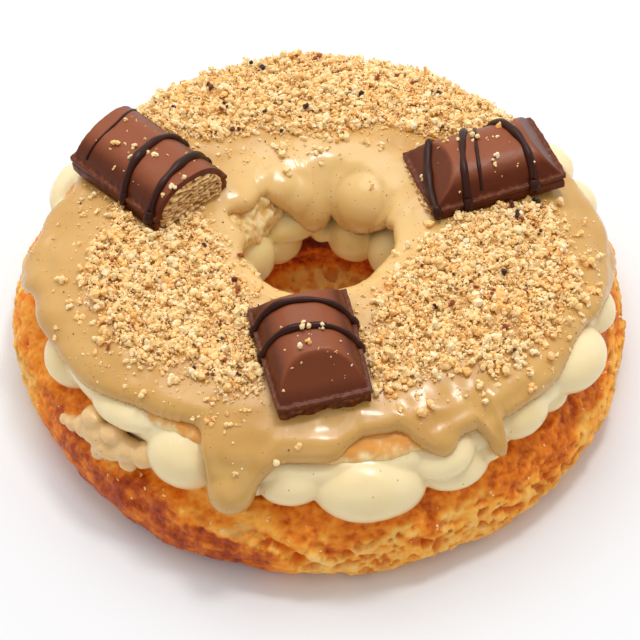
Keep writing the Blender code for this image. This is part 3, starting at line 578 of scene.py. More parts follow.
# The glaze over the lid, with its drips outside and its fat lobes in the hole
glaze = {
    "steps": 1000, "faceRows": 74, "backRows": 20,
    # azimuth and height of the outer and the inner edge, and azimuth and radius of the inner rim
    "outerEdge": [
        (0.0, 30.5), (20.0, 33.2), (90.0, 33.5), (150.0, 34.2), (166.0, 35.3), (176.0, 32.6), (200.0, 30.8),
        (216.0, 30.8), (232.0, 33.8), (243.0, 34.6), (262.0, 33.0), (271.0, 33.0), (279.0, 35.7),
        (285.0, 35.7), (292.0, 33.0), (301.0, 33.2), (318.0, 31.8), (335.0, 33.4), (346.0, 31.5)],
    # azimuth, half width, length
    "drips": [
        (356.0, 13.0, 3.6), (38.0, 8.0, 3.0), (68.0, 7.0, 6.0), (97.0, 6.0, 3.0), (123.0, 6.5, 7.5),
        (142.0, 5.0, 3.0), (186.0, 4.5, 4.0), (253.2, 5.4, 11.8), (294.2, 2.6, 1.8), (304.2, 1.7, 6.6)],
    "innerEdge": [
        (12.0, 34.0), (27.0, 31.4), (39.0, 27.0), (55.0, 23.6), (72.0, 22.8), (80.0, 24.6), (86.0, 26.6),
        (91.0, 23.0), (98.0, 21.8), (105.0, 23.2), (111.0, 26.0), (118.0, 29.4), (125.0, 32.2),
        (132.0, 34.0), (147.0, 34.4), (163.0, 35.6), (178.0, 33.6), (200.0, 34.6), (270.0, 34.6),
        (330.0, 34.2)],
    "innerRim": [
        (0.0, 20.8), (20.0, 21.6), (38.0, 24.6), (57.0, 26.4), (80.0, 27.0), (107.0, 26.4), (130.0, 24.8),
        (148.0, 24.2), (163.0, 26.4), (180.0, 22.4), (198.0, 23.0), (240.0, 23.6), (290.0, 21.6),
        (322.0, 20.0)],
    "lobes": [(58.0, 19.0), (100.0, 13.0)], "lobeSwell": 1.8,  # azimuth, half width
    # swellings: azimuth, reach, height, size, depth of the crease round them, softness
    "balls": [
        (58.0, 22.0, 30.2, 7.0, 0.35, 1.8), (97.0, 19.2, 26.6, 4.5, 0.2, 1.2),
        (106.0, 20.6, 30.4, 4.2, 0.0, 1.8), (118.0, 22.8, 33.6, 3.6, 0.0, 2.0),
        (147.0, 26.2, 35.2, 3.0, 0.0, 1.6), (253.2, 74.6, 25.6, 4.4, 0.0, 1.4)],
    "bead": 0.6,  # height of the thick edge
    "ripples": [(16.0, 21.0, 0.4), (7.0, 23.0, 0.5), (3.4, 24.0, 0.16)],  # size, seed, height
    "folds": (15.0, 5.0, 1.0),  # length along the edge, spacing, height
    "edgeRadius": 66.0,  # where the folds are measured
}


def outerEdgeAt(azimuth):
    drop = sum(fall * math.exp(-abs(turnBetween(azimuth, middle) / half) ** 2.6)
               for middle, half, fall in glaze["drips"])
    return stationAt(glaze["outerEdge"], azimuth) - drop


def glazePath(azimuth):
    ball = glaze["lobeSwell"] * max(bell(azimuth, middle, half) for middle, half in glaze["lobes"])
    rim = stationAt(glaze["innerRim"], azimuth)
    wide = stationAt(lidBun["outline"], azimuth) - 1.0 * bell(azimuth, 2.0, 20.0)
    top = cake["glazeTop"] - cake["glazeThickness"]
    crown = cake["crownRadius"]
    return Outline([
        (19.6 - 0.5 * ball, 20.0), (18.9 - ball, 25.0), (min(rim, 21.2) - 0.8 - ball, 30.5),
        (rim - 1.6 - ball, 34.4), (rim + 2.2 - 0.3 * ball, top - 1.1), (rim + 8.0, top - 0.1),
        (crown + 5.0, top - 0.2), (60.5 + 0.6 * wide, top - 1.7), (67.5 + wide, 33.6),
        (71.4 + wide, 29.6), (74.0 + wide, 24.8), (75.4 + wide, 19.0),
    ], False, None, 20)


def glazeSection(azimuth, share):
    path = glazePath(azimuth)
    low, high = stationAt(glaze["innerEdge"], azimuth), outerEdgeAt(azimuth)
    start = path.shareWhere(lambda r, z: (z >= low) & (r < 40.0))
    end = path.shareWhere(lambda r, z: (z <= high) & (r > 50.0))
    rows = glaze["faceRows"] + glaze["backRows"]
    step = np.rint(share * rows)
    face = step < glaze["faceRows"]
    even = np.where(face, 1.0 - step / (glaze["faceRows"] - 1),
                    (step - glaze["faceRows"] + 1) / (glaze["backRows"] + 1))
    along = np.where(face, 0.62 * even + 0.38 * ease(even), 0.45 * even + 0.55 * ease(even))
    place = start + (end - start) * along
    radius, height = path.at(place)
    inward, downward = path.normal(place)
    edge = np.minimum(along, 1.0 - along)
    roundOff = np.sqrt(np.maximum(0.0, 1.0 - np.maximum(0.0, 1.0 - edge / 0.05) ** 2))
    bead = glaze["bead"] * np.exp(-((edge - 0.08) / 0.055) ** 2) * ease((along - 0.5) * 9)
    push = np.where(face, (cake["glazeThickness"] + bead) * (0.12 + 0.88 * roundOff), 0.0)
    return radius - push * inward, height - push * downward


def makeGlaze():
    mesh = ringMesh("poured_glaze", glaze["steps"], glaze["faceRows"] + glaze["backRows"], glazeSection)
    points, normals, radius, azimuth = surfaceOf(mesh)
    relief = lumpy(points, glaze["ripples"])
    length, spacing, tall = glaze["folds"]
    ring = glaze["edgeRadius"]
    sweep = (np.radians(azimuth) * ring + 4.0 * noiseAt(points, 20.0, 27.0)) / ring
    run = (radius - 1.3 * points[:, 2]) / spacing
    rolled = np.stack([np.cos(sweep) * ring / length, np.sin(sweep) * ring / length, run], 1)
    flow = ease((radius - 54.0) / 8.0) * (0.3 + 0.7 * bell(azimuth, 330.0, 40.0))
    relief += tall * noiseAt(rolled, 1.0, 28.0) * flow
    moveAlong(mesh, normals, relief)
    points = coordsOf(mesh)
    for middle, reach, height, size, crease, soft in glaze["balls"]:
        turn = math.radians(middle)
        away = points - np.array([reach * math.cos(turn), reach * math.sin(turn), height])
        distance = np.maximum(np.linalg.norm(away, axis=1), 0.5)
        grow = soft * np.log1p(np.exp(np.clip((size - distance) / soft, -30.0, 30.0)))
        near = (distance < size + 5.0)[:, None]
        points = points + near * away / distance[:, None] * grow[:, None]
        points = points - near * normals * (crease * np.exp(-((distance - size - 1.0) / 0.9) ** 2))[:, None]
    setCoords(mesh, points)
    # Painted light: the glaze in the hole, where it lies in shade, is marked to be painted paler
    thin = 0.7 * ease((36.0 - polarOf(points)[0]) / 5.0) * ease((43.0 - points[:, 2]) / 4.0)
    setValues(mesh, "thin", thin)
    return finishPiece("poured_glaze", mesh, glazeCoat, ["hazelnut_glaze"])


def glazeMaterial(name, low, high):
    # Set hazelnut glaze: tan and glossy, with painted light that makes it paler in the shaded hole, and with
    # specks of nut skin
    material, tree, shader, coords = newMaterial(name, 0.27, 0.5, (0.25, 1.6, (1.0, 0.7, 0.4)), 0.3)
    cloud = cloudAt(tree, coords, 55.0, 3.0)
    # Painted light makes the glaze paler where the mesh is marked in the hole
    base = tinted(tree, shades(tree, cloud, (0.3, low), (0.7, high)), "thin", "#efcb88")
    colour = flecked(tree, coords, base, 820.0, (0.08, 0.17), 0.66, 0.8, "#7a4a1e")
    setInputs(tree, shader, {"Base Color": colour, "Normal": bumpOf(tree, cloud, 0.25, 0.6)})
    return material


glazeCoat = glazeMaterial("set_hazelnut_glaze", "#ca994f", "#d7ab61")
# A paler copy of the glaze for the spill, painted lighter to make up for the shade of the lid over it
glazePaintedLighter = glazeMaterial("hazelnut_glaze_painted_lighter", "#deb272", "#ebc68c")
glazePiece = makeGlaze()
print("glaze is made")


# The pastry cream, piped between the buns
cream = {
    # dollops round the outside: azimuth, reach, mid height, half length, half height
    "outer": [
        (3.0, 73.6, 27.5, 9.0, 6.0), (17.0, 75.2, 28.0, 8.0, 6.0), (30.0, 76.0, 27.5, 9.5, 6.5),
        (46.0, 73.5, 26.5, 9.5, 6.0), (61.0, 73.0, 26.5, 9.0, 6.5), (77.0, 73.5, 27.0, 10.0, 6.0),
        (93.0, 75.0, 26.0, 9.5, 6.5), (109.0, 73.5, 26.5, 9.5, 6.0), (124.0, 74.5, 26.0, 9.0, 6.5),
        (141.0, 75.2, 26.5, 10.5, 6.0), (159.0, 76.4, 28.0, 11.0, 7.0), (176.0, 73.5, 26.0, 9.0, 6.0),
        (191.0, 73.5, 25.5, 8.5, 6.0), (206.0, 75.5, 25.5, 9.0, 6.6), (226.0, 73.5, 29.6, 12.5, 4.6),
        (241.5, 76.0, 25.2, 10.0, 8.0), (254.0, 73.0, 25.0, 9.0, 6.0), (264.0, 74.5, 26.0, 9.5, 5.6),
        (279.0, 78.0, 24.6, 13.5, 7.8), (296.5, 75.5, 24.0, 10.0, 5.0), (294.0, 74.5, 29.0, 9.0, 4.6),
        (304.0, 73.0, 25.2, 8.0, 4.4), (313.5, 74.0, 28.0, 9.5, 6.0), (323.0, 73.0, 24.8, 7.0, 4.4),
        (331.5, 77.0, 28.2, 12.0, 7.0), (347.0, 75.4, 26.4, 8.0, 6.0)],
    "inner": [
        (33.0, 15.4, 18.6, 7.0, 8.2), (67.0, 14.8, 16.8, 7.4, 7.6), (91.0, 16.6, 18.0, 4.4, 3.6),
        (112.0, 15.0, 22.4, 9.4, 5.4), (123.0, 15.8, 16.0, 7.0, 6.6), (152.0, 15.2, 18.2, 6.8, 8.2),
        (186.0, 15.6, 20.5, 7.5, 6.5), (222.0, 15.4, 19.5, 7.5, 7.0), (256.0, 15.6, 20.5, 7.5, 6.5),
        (290.0, 15.4, 19.5, 7.5, 7.0), (325.0, 15.6, 20.5, 7.5, 6.5), (0.0, 15.6, 20.0, 6.5, 6.5)],
    "outerDepth": 9.0, "innerDepth": 6.5,  # half depth of the dollops outside and in the hole
    "rollRadius": 66.8, "roll": 4.2,  # the roll under the rim of the lid
    "core": (46.5, 23.0),  # middle radius and half width of the flat layer
    "lumps": [(8.0, 40.0, 0.25), (2.5, 41.0, 0.08)],  # size, seed, height
    "voxel": 0.42, "triangles": 190000, "smoothing": 2,
}


def creamCore(azimuth, share):
    angle = math.tau * share
    low, high = cake["baseHeight"] - 0.4, cake["creamTop"] + 0.6
    middle, half = cream["core"]
    radius = middle + half * np.copysign(np.abs(np.cos(angle)) ** 0.4, np.cos(angle))
    rise = np.copysign(np.abs(np.sin(angle)) ** 0.4, np.sin(angle))
    return radius, (high + low + (high - low) * rise) / 2.0


def creamRoll(azimuth, share):
    angle = math.tau * share
    wave = 0.6 * math.sin(math.radians(7.0 * azimuth)) + stationAt(lidBun["outline"], azimuth) * 0.5
    radius = cream["rollRadius"] + wave + cream["roll"] * np.cos(angle)
    return radius, cake["creamTop"] + 0.4 + cream["roll"] * np.sin(angle)


def placedAt(azimuth, reach, height):
    # Out from the middle and up, then round to the azimuth
    return Matrix.Rotation(math.radians(azimuth), 4, "Z") @ Matrix.Translation((reach * mm, 0.0, height * mm))


def voxelUnion(name, meshes, voxel, triangles, smoothing):
    # Melts overlapping closed meshes into one even skin
    bm = bmesh.new()
    for mesh in meshes:
        bm.from_mesh(mesh)
        bpy.data.meshes.remove(mesh)
    item = addObject(name, meshFrom(name, bm))
    melt = item.modifiers.new("melt", "REMESH")
    melt.mode, melt.voxel_size = "VOXEL", voxel * mm
    soften = item.modifiers.new("soften", "SMOOTH")
    soften.factor, soften.iterations = 0.5, smoothing
    mesh = applied(item)
    count = sum(len(p.vertices) - 2 for p in mesh.polygons)
    if count > triangles:
        item = addObject(name, mesh)
        item.modifiers.new("thin", "DECIMATE").ratio = triangles / count
        mesh = applied(item)
    return mesh


def makeCream():
    parts = [ringMesh("core", 300, 40, creamCore), ringMesh("roll", 360, 32, creamRoll)]
    for index, (azimuth, reach, middle, halfLength, halfHeight) in enumerate(cream["outer"] + cream["inner"]):
        outside = reach > 40.0
        depth = cream["outerDepth"] if outside else cream["innerDepth"]
        centre = reach - depth if outside else reach + depth
        bm = bmesh.new()
        bmesh.ops.create_uvsphere(bm, u_segments=40, v_segments=28, radius=1.0)
        size = Matrix.Diagonal((depth * mm, halfLength * mm, halfHeight * mm, 1.0))
        lean = Matrix.Rotation(math.radians(10.0 * math.sin(2.3 * index)), 4, "X")
        bmesh.ops.transform(bm, matrix=placedAt(azimuth, centre, middle) @ lean @ size, verts=bm.verts)
        parts.append(meshFrom("dollop", bm))
    mesh = voxelUnion("piped_cream", parts, cream["voxel"], cream["triangles"], cream["smoothing"])
    points, normals, radius, azimuth = surfaceOf(mesh)
    moveAlong(mesh, normals, lumpy(points, cream["lumps"]))
    behind = ease((72.0 - np.abs(turnBetween(azimuth, 95.0))) / 25.0)
    # Painted light: the cream in the shaded hole, most at its back, is marked to be tinted warm pale yellow
    setValues(mesh, "rich", ease((38.0 - radius) / 10.0) * (0.6 + 0.4 * behind))
    return finishPiece("piped_cream", mesh, creamMaterial(), ["pastry_cream"])


def creamMaterial():
    # Vanilla pastry cream: ivory, satin and milky, with fine dark seeds, and painted warm light that makes it
    # deeper yellow in the shaded hole
    milky = (0.4, 2.0, (1.0, 0.85, 0.6))
    material, tree, shader, coords = newMaterial("piped_vanilla_cream", 0.26, 0.5, milky, 0.2)
    base = shades(tree, cloudAt(tree, coords, 60.0, 2.0), (0.3, "#f5dea8"), (0.7, "#fbe8bc"))
    # Painted warm light on the cream in the hole
    base = tinted(tree, base, "rich", "#ffe6a6")
    colour = flecked(tree, coords, base, 520.0, (0.06, 0.15), 0.86, 0.55, "#7a5a38")
    setInputs(tree, shader, {"Base Color": colour})
    return material


makeCream()
print("pastry cream is made")


# The spilt glaze on the base and the cream: azimuth, radius, height and size of each blob
spill = {
    "blobs": [
        (215.5, 77.0, 19.4, 1.5), (217.5, 76.0, 20.2, 2.2), (220.5, 74.6, 21.8, 3.2),
        (224.0, 74.0, 22.8, 4.0), (225.5, 76.4, 19.9, 2.4), (227.5, 74.6, 21.8, 3.5),
        (230.5, 73.0, 23.2, 3.7), (232.0, 74.8, 21.0, 2.1), (234.5, 72.0, 23.8, 3.5),
        (238.5, 71.6, 23.8, 3.2), (222.0, 73.6, 26.2, 2.8), (227.0, 73.0, 25.6, 3.0)],
    "lumps": [(3.6, 44.0, 0.6), (1.8, 45.0, 0.2)],  # size, seed, height
    "voxel": 0.3, "triangles": 60000, "smoothing": 16,
}


def makeSpill():
    parts = []
    for azimuth, radius, height, size in spill["blobs"]:
        bm = bmesh.new()
        bmesh.ops.create_icosphere(bm, subdivisions=3, radius=size * mm)
        flat = Matrix.Diagonal((1.0, 1.15, 0.75, 1.0))
        bmesh.ops.transform(bm, matrix=placedAt(azimuth, radius, height) @ flat, verts=bm.verts)
        parts.append(meshFrom("blob", bm))
    mesh = voxelUnion("spilt_glaze", parts, spill["voxel"], spill["triangles"], spill["smoothing"])
    moveAlong(mesh, normalsOf(mesh), lumpy(coordsOf(mesh), spill["lumps"]))
    return finishPiece("spilt_glaze", mesh, glazePaintedLighter, ["glaze_spill"])


makeSpill()
print("spilt glaze is made")


# The chocolate pieces, in each piece's own millimetres from the middle of its rim
bars = {
    "width": 24.5, "dome": 6.8, "crease": 0.10, "wall": 1.5, "grid": (120, 84), "drizzleSteps": 72,
    # widening and drop of each level below the dome: rim, undercut and slab
    "levels": [
        (0.12, 0.05), (0.10, 0.15), (0.0, 0.4), (0.0, 0.4), (-0.12, 0.2), (-0.15, 0.1), (-0.5, 0.05),
        (-0.1, 0.2), (0.35, 0.25), (0.15, 0.2), (0.05, 0.5), (0.0, 0.5), (0.0, 0.4), (0.0, 0.4),
        (-0.05, 0.5), (-0.3, 0.3)],
    # slopes: length of the hip at the -X and the +X end, where 0 is an end broken off square
    # drizzle: where a line starts, passes the middle and ends along the piece, and its radius
    # crumbs: place along and across, and size
    "front": {"length": 31.5, "centre": (-2.9, -43.2, 44.6), "turn": (-77.5, 1.5, 4.0), "slopes": (3.0, 9.0),
              "taper": 0.08, "shear": 0.0, "crack": 0.7,
              "drizzle": [(-5.0, -9.3, -9.0, 0.85), (2.5, -1.3, -1.0, 0.85)],
              "crumbs": [
                  (-1.0, -0.3, 1.1), (-0.2, 3.3, 0.8), (3.2, -0.7, 1.0), (4.1, -3.1, 0.9),
                  (-3.2, -6.0, 0.4), (3.2, -6.5, 0.3), (8.4, -6.3, 0.3), (7.1, 5.2, 0.3), (4.1, 6.9, 0.3),
                  (10.1, 8.4, 0.3), (5.8, 1.2, 0.25), (12.0, -9.4, 0.5)]},
    "left": {"length": 36.3, "centre": (-45.4, 18.5, 44.4), "turn": (-46.0, -3.0, -2.0), "slopes": (1.8, 0.0),
             "taper": 0.0, "shear": -4.4, "crack": 0.3,
             "drizzle": [(2.3, 1.9, 5.1, 1.1), (10.8, 13.1, 15.8, 1.1), (-14.5, -11.0, -12.0, 0.3)],
             "crumbs": [
                 (-5.4, -4.1, 1.0), (-0.9, -2.3, 1.0), (4.7, -0.7, 1.3), (0.6, -5.9, 0.8),
                 (-1.6, -9.0, 0.6), (17.2, -1.4, 0.9), (17.2, -5.3, 1.1), (17.0, -8.1, 0.7),
                 (-10.0, 2.7, 0.7), (-6.1, -6.6, 0.4), (-3.4, -3.4, 0.4), (-0.9, 1.4, 0.4), (7.9, 1.5, 0.3),
                 (-8.0, 5.0, 0.3), (10.0, 6.0, 0.3)]},
    "right": {"length": 36.0, "centre": (41.0, 18.6, 44.4), "turn": (17.5, -4.5, -3.5), "slopes": (8.0, 5.5),
              "taper": 0.0, "shear": 0.0, "crack": 0.3,
              "drizzle": [
                  (-9.5, -14.8, -17.0, 1.2), (-0.2, -5.4, -8.7, 0.9), (1.8, -1.7, -4.4, 0.45),
                  (4.7, 9.2, 9.0, 1.1)],
              "crumbs": [
                  (-16.6, 0.2, 0.9), (-7.9, 5.4, 0.7), (-4.6, 3.9, 1.0), (-1.2, 3.0, 1.2), (6.5, 5.5, 1.7),
                  (9.6, 9.0, 1.2), (10.7, 7.1, 0.5), (1.8, -5.1, 1.0), (0.3, -6.9, 0.8), (4.1, 1.3, 0.7),
                  (1.8, 1.5, 0.4), (-10.5, 4.0, 0.3), (10.0, -9.0, 0.8), (6.1, -8.6, 0.4)]},
}
barNames = ("front", "left", "right")


def domeHeight(bar, x, y, inset=0.0):
    # Height of the domed top over the rim, with sloping ends and soft ridges between the slopes
    halfLength = bar["length"] / 2.0 - 1.1 - inset
    halfWidth = bars["width"] / 2.0 - 1.1 - inset
    side = max(0.0, 1.0 - abs(y / halfWidth) ** 2.3) ** 0.62
    ends = zip((halfLength + x, halfLength - x), bar["slopes"])
    fall = min(1.0, *[max(0.0, reach / slope) for reach, slope in ends if slope])
    crease = max(0.0, bars["crease"] - abs(side - fall)) / bars["crease"]
    low = min(side, fall) - 0.25 * bars["crease"] * crease * crease
    return (bars["dome"] - inset) * max(0.0, low)


def turnOf(bar):
    yaw, pitch, roll = (math.radians(angle) for angle in bar["turn"])
    return Euler((roll, pitch, yaw)).to_matrix()


def onBar(bar, points):
    # Where local points lie on the cake in mm, with the piece's own taper, skew and worn corners
    points = np.array(points, float)
    along = 0.5 + points[:, 0] / bar["length"]
    across = points[:, 1] / bars["width"]
    corner = 1.0 - 0.02 * np.clip(4.0 * np.abs((along - 0.5) * across), 0.0, 1.2) ** 8
    points[:, 0] = points[:, 0] * corner + bar["shear"] * (1.0 - along) * across
    points[:, 1] *= (1.0 - bar["taper"] * along) * corner
    return points @ np.array(turnOf(bar)).T + np.array(bar["centre"])


def layOnBar(mesh, bar):
    setCoords(mesh, onBar(bar, coordsOf(mesh)))


def drawnOut(bm, border):
    # New edges and corners drawn out of a sheet's border
    out = bmesh.ops.extrude_edge_only(bm, edges=border)["geom"]
    kinds = (bmesh.types.BMEdge, bmesh.types.BMVert)
    return [[part for part in out if isinstance(part, kind)] for kind in kinds]


def closeHole(bm, border):
    bmesh.ops.holes_fill(bm, edges=border)
    bmesh.ops.triangulate(bm, faces=[face for face in bm.faces if len(face.verts) > 4])


def blockMesh(name):
    # A sheet with the domed top whose border is drawn down through the levels and closed
    bar = bars[name]
    length, width = bar["length"] - 0.3, bars["width"] - 0.3
    bm = sheetOf(*bars["grid"])
    for vert in bm.verts:
        x, y = vert.co.x * length, vert.co.y * width
        vert.co = (x, y, domeHeight(bar, x, y))
    border = [edge for edge in bm.edges if edge.is_boundary]
    level = 0.0
    for wider, drop in bars["levels"]:
        border, corners = drawnOut(bm, border)
        level -= drop
        for vert in corners:
            vert.co.x *= 1.0 + 2.0 * wider / length
            vert.co.y *= 1.0 + 2.0 * wider / width
            vert.co.z = level
    closeHole(bm, border)
    bmesh.ops.recalc_face_normals(bm, faces=bm.faces)
    bmesh.ops.scale(bm, vec=(mm, mm, mm), verts=bm.verts)
    return meshFrom(name, bm)


def makeBar(name):
    bar = bars[name]
    mesh = blockMesh(name)
    points, normals = coordsOf(mesh), normalsOf(mesh)
    height = points[:, 2]
    low = ease((-1.0 - height) / 1.0)
    edge = ease(1.0 - np.abs(height + 0.1) / 0.5)
    # Painted light: faces turned up are marked to be painted paler, as if lit from above
    crown = ease((normals[:, 2] - 0.68) / 0.30) * ease((height - 0.3) / 2.2)
    broken = ease((np.abs(points[:, 0]) - bar["length"] / 2.0 + 1.0) / 0.6) * low
    worn = 0.7 * edge * ease(noiseAt(points, 1.1, 55.0, 2) * 1.6)
    worn += 0.8 * broken * ease(noiseAt(points, 1.3, 56.0, 2) * 2.0)
    relief = 0.10 * noiseAt(points, 6.0, 50.0) + 0.04 * noiseAt(points, 1.5, 51.0, 3)
    cracks = bar["crack"] * broken * noiseAt(points, 2.4, 53.0, 4)
    relief += 0.15 * low * noiseAt(points, 3.0, 52.0, 3) + cracks
    relief += 0.22 * edge * noiseAt(points, 1.8, 54.0, 3)
    moveAlong(mesh, normals, relief)
    layOnBar(mesh, bar)
    setValues(mesh, "crown", crown)
    setValues(mesh, "scuff", np.clip(worn, 0.0, 1.0))
    return finishPiece("chocolate_piece_" + name, mesh, chocolate, ["chocolate_" + name])


def chocolateMaterial(name, low, high, roughness, shine):
    # Tempered chocolate: smooth satin snap with faint cloudy bloom, paler at scuffed edges, and painted light
    # that makes the upturned crown paler
    material, tree, shader, coords = newMaterial(name, roughness, shine, None, 0.0, 1.5)
    base = shades(tree, cloudAt(tree, coords, 140.0, 4.0), (0.3, low), (0.75, high))
    # Painted light makes the crown paler; the scuffs are real wear
    base = tinted(tree, tinted(tree, base, "crown", "#8d4a29"), "scuff", "#8c4a22")
    bump = bumpOf(tree, cloudAt(tree, coords, 900.0, 3.0), 0.15, 0.2)
    setInputs(tree, shader, {"Base Color": base, "Normal": bump})
    return material


chocolate = chocolateMaterial("tempered_milk_chocolate", "#562207", "#64290b", 0.38, 0.26)
darkChocolate = chocolateMaterial("dark_chocolate_drizzle", "#2e0f06", "#3a160c", 0.36, 0.22)


def makeDrizzle(name):
    # Poured lines from side to side, swelling a little and ending in drops; a thin one stops short
    bar = bars[name]
    bm = bmesh.new()
    steps = bars["drizzleSteps"]
    for left, middle, right, radius in bar["drizzle"]:
        thin = radius < 0.6
        width, lift = (bars["width"] - 3.0, 0.1) if thin else (bars["width"] + 0.4, 0.2)
        shares = [step / steps for step in range(steps + 1)]
        places = []
        for t in shares:
            x = (1 - t) ** 2 * left + 2 * t * (1 - t) * (2 * middle - (left + right) / 2) + t * t * right
            y = (0.5 - t) * width
            drop = 0.0 if thin else 2.4 * max(0.0, abs(2.0 * t - 1.0) - 0.955) / 0.045
            places.append((x, y, domeHeight(bar, x, y) - drop + lift))
        curve = bpy.data.curves.new("drizzle", "CURVE")
        curve.dimensions = "3D"
        curve.bevel_depth, curve.bevel_resolution, curve.use_fill_caps = radius * mm, 5, True
        spline = curve.splines.new("POLY")
        spline.points.add(steps)
        for t, point, place in zip(shares, spline.points, onBar(bar, places)):
            end = abs(2.0 * t - 1.0)
            swell = 0.16 * math.sin(9.0 * t + left) + 0.10 * math.sin(23.0 * t + right)
            point.co = (*(place * mm), 1.0)
            thick = 1.0 + swell + 0.35 * max(0.0, end - 0.86) / 0.14
            point.radius = thick - 0.4 * max(0.0, end - 0.97) / 0.03
        mesh = applied(addObject("drizzle", curve))
        bm.from_mesh(mesh)
        bpy.data.meshes.remove(mesh)
    bmesh.ops.remove_doubles(bm, verts=bm.verts, dist=1e-6)
    bmesh.ops.recalc_face_normals(bm, faces=bm.faces)
    return finishPiece("drizzle_" + name, meshFrom("drizzle_" + name, bm), darkChocolate)


# The wafer and praline that shows at two ends
wafer = {
    "layer": 1.05, "grid": (110, 70),  # height of one wafer sheet with its praline, and points across and up
    # end (+1 or -1), half width, lowest height, whether it fills the dome, how far it stands out
    "left": (1.0, 10.2, -3.9, True, 0.55),
    "right": (-1.0, 9.6, -3.9, False, 0.35),
}


def makeWafer(name):
    # A flaky broken face in the end of a piece, closed behind by a plain block
    bar = bars[name]
    end, halfWidth, floor, domed, proud = wafer[name]
    bm = sheetOf(*wafer["grid"])
    border, rear = drawnOut(bm, [edge for edge in bm.edges if edge.is_boundary])
    for vert in rear:
        vert.co.z -= 1.0
    closeHole(bm, border)
    mesh = meshFrom(name, bm)
    flat = coordsOf(mesh) * mm
    across = 2.0 * flat[:, 0] * halfWidth
    behind = end * (bar["length"] / 2.0 - 3.0)
    roof = np.array([domeHeight(bar, behind, y, bars["wall"]) if domed else -0.9 for y in across])
    roof = np.maximum(roof, -0.9)
    up = floor + (flat[:, 1] + 0.5) * (roof - floor)
    seat = np.stack([np.zeros(len(flat)), across, up], 1)
    wave = up / wafer["layer"] + 0.8 * noiseAt(seat, (1.0, 5.0, 3.0), 71.0) + 0.3 * noiseAt(seat, 1.4, 72.0)
    sheet = np.abs((wave % 1.0) - 0.5) * 2.0  # 1 in the wafer, 0 in the praline
    flake = noiseAt(seat, (1.0, 1.7, 0.8), 73.0, 4)
    front = proud + 0.55 * ease(sheet) + 0.75 * flake - 0.35
    rim = np.minimum(0.5 - np.abs(flat[:, 0]), 0.5 - np.abs(flat[:, 1])) * 14.0
    front = front * ease(rim) - 0.2 * (1.0 - ease(rim))
    face = flat[:, 2] > -0.5
    forward = end * (bar["length"] / 2.0 + np.where(face, front, -2.5))
    setCoords(mesh, np.stack([forward, across, up], 1))
    layOnBar(mesh, bar)
    bm = bmesh.new()
    bm.from_mesh(mesh)
    bmesh.ops.recalc_face_normals(bm, faces=bm.faces)
    bm.to_mesh(mesh)
    bm.free()
    setValues(mesh, "sheet", np.clip(sheet + 0.5 * flake, 0.0, 1.0))
    return finishPiece("wafer_face_" + name, mesh, waferSheets, ["wafer_" + name])


def waferMaterial():
    # Crisp wafer sheets with milky praline between: dry, flaky, pale tan over deeper nut brown
    milky = (0.3, 0.8, (1.0, 0.6, 0.3))
    material, tree, shader, coords = newMaterial("wafer_and_milky_praline", 0.75, 0.5, milky)
    mixed = mottled(tree, valueOn(tree, "sheet"), cloudAt(tree, coords, 1100.0, 4.0), 0.3, 0.25)
    colour = shades(tree, mixed, (0.0, "#7c4718"), (0.35, "#c08c4c"), (0.9, "#e9c78e"))
    setInputs(tree, shader, {"Base Color": colour})
    return material


waferSheets = waferMaterial()
for name in barNames:
    makeBar(name)
    makeDrizzle(name)
for name in ("left", "right"):
    makeWafer(name)
print("chocolate pieces are made")


# The nut crumbs and flecks of nut skin, strewn over the glaze
crumbs = {
    "seed": 11,
    # dense stretch of the beds: azimuth, inner radius, outer radius
    "beds": [
        (2.0, 30.0, 62.0), (14.0, 40.0, 54.0), (30.0, 48.0, 60.0), (42.0, 44.0, 67.0), (60.0, 38.0, 70.0),
        (90.0, 31.0, 70.0), (130.0, 38.0, 70.0), (146.0, 50.0, 69.0), (160.0, 46.0, 58.0),
        (178.0, 27.0, 56.0), (200.0, 24.0, 64.0), (220.0, 26.0, 63.0), (236.0, 27.0, 59.0),
        (250.0, 37.0, 60.0), (262.0, 45.0, 50.0), (276.0, 52.0, 50.0), (286.0, 34.0, 56.0),
        (300.0, 24.0, 58.0), (320.0, 23.5, 65.0), (342.0, 23.5, 68.0)],
    # name, how many, least and greatest size, lumps in each, whether the lumps are round
    "kinds": [
        ("nut_lumps", 60, 1.4, 2.0, 4, True), ("coarse_crumbs", 1900, 0.85, 1.5, 4, True),
        ("medium_crumbs", 4200, 0.45, 0.9, 3, False), ("fine_crumbs", 9000, 0.16, 0.42, 1, False)],
    "skins": [("skin_chips", 56, 0.7, 1.3, 2, True), ("skin_specks", 1100, 0.12, 0.28, 1, False)],
    "shapes": 10,  # different crumbs of a kind
    "reach": (20.0, 74.0),  # least and greatest radius of the beds
    "cell": 0.5, "heap": 1.5,  # step of the heaps and their greatest height
    "onBar": 16, "onCrust": 120, "crustBand": (74.0, 79.5),  # dust on each piece and on the crust
}


def nugget(rng, lumps, rounded):
    # One broken crumb: a few jittered lumps stuck together, about 1 unit in radius
    bm = bmesh.new()
    for _ in range(lumps):
        start = len(bm.verts)
        size = 1.0 if lumps == 1 else rng.uniform(0.45, 0.75)
        if rounded:
            bmesh.ops.create_icosphere(bm, subdivisions=1, radius=size)
        else:
            bmesh.ops.create_uvsphere(bm, u_segments=4, v_segments=2, radius=1.15 * size)
        bm.verts.ensure_lookup_table()
        shift = Vector([rng.gauss(0.0, 0.42) for _ in range(3)]) if lumps > 1 else Vector()
        for vert in bm.verts[start:]:
            vert.co = vert.co * rng.uniform(0.7, 1.25) + shift
    return meshFrom("nugget", bm)


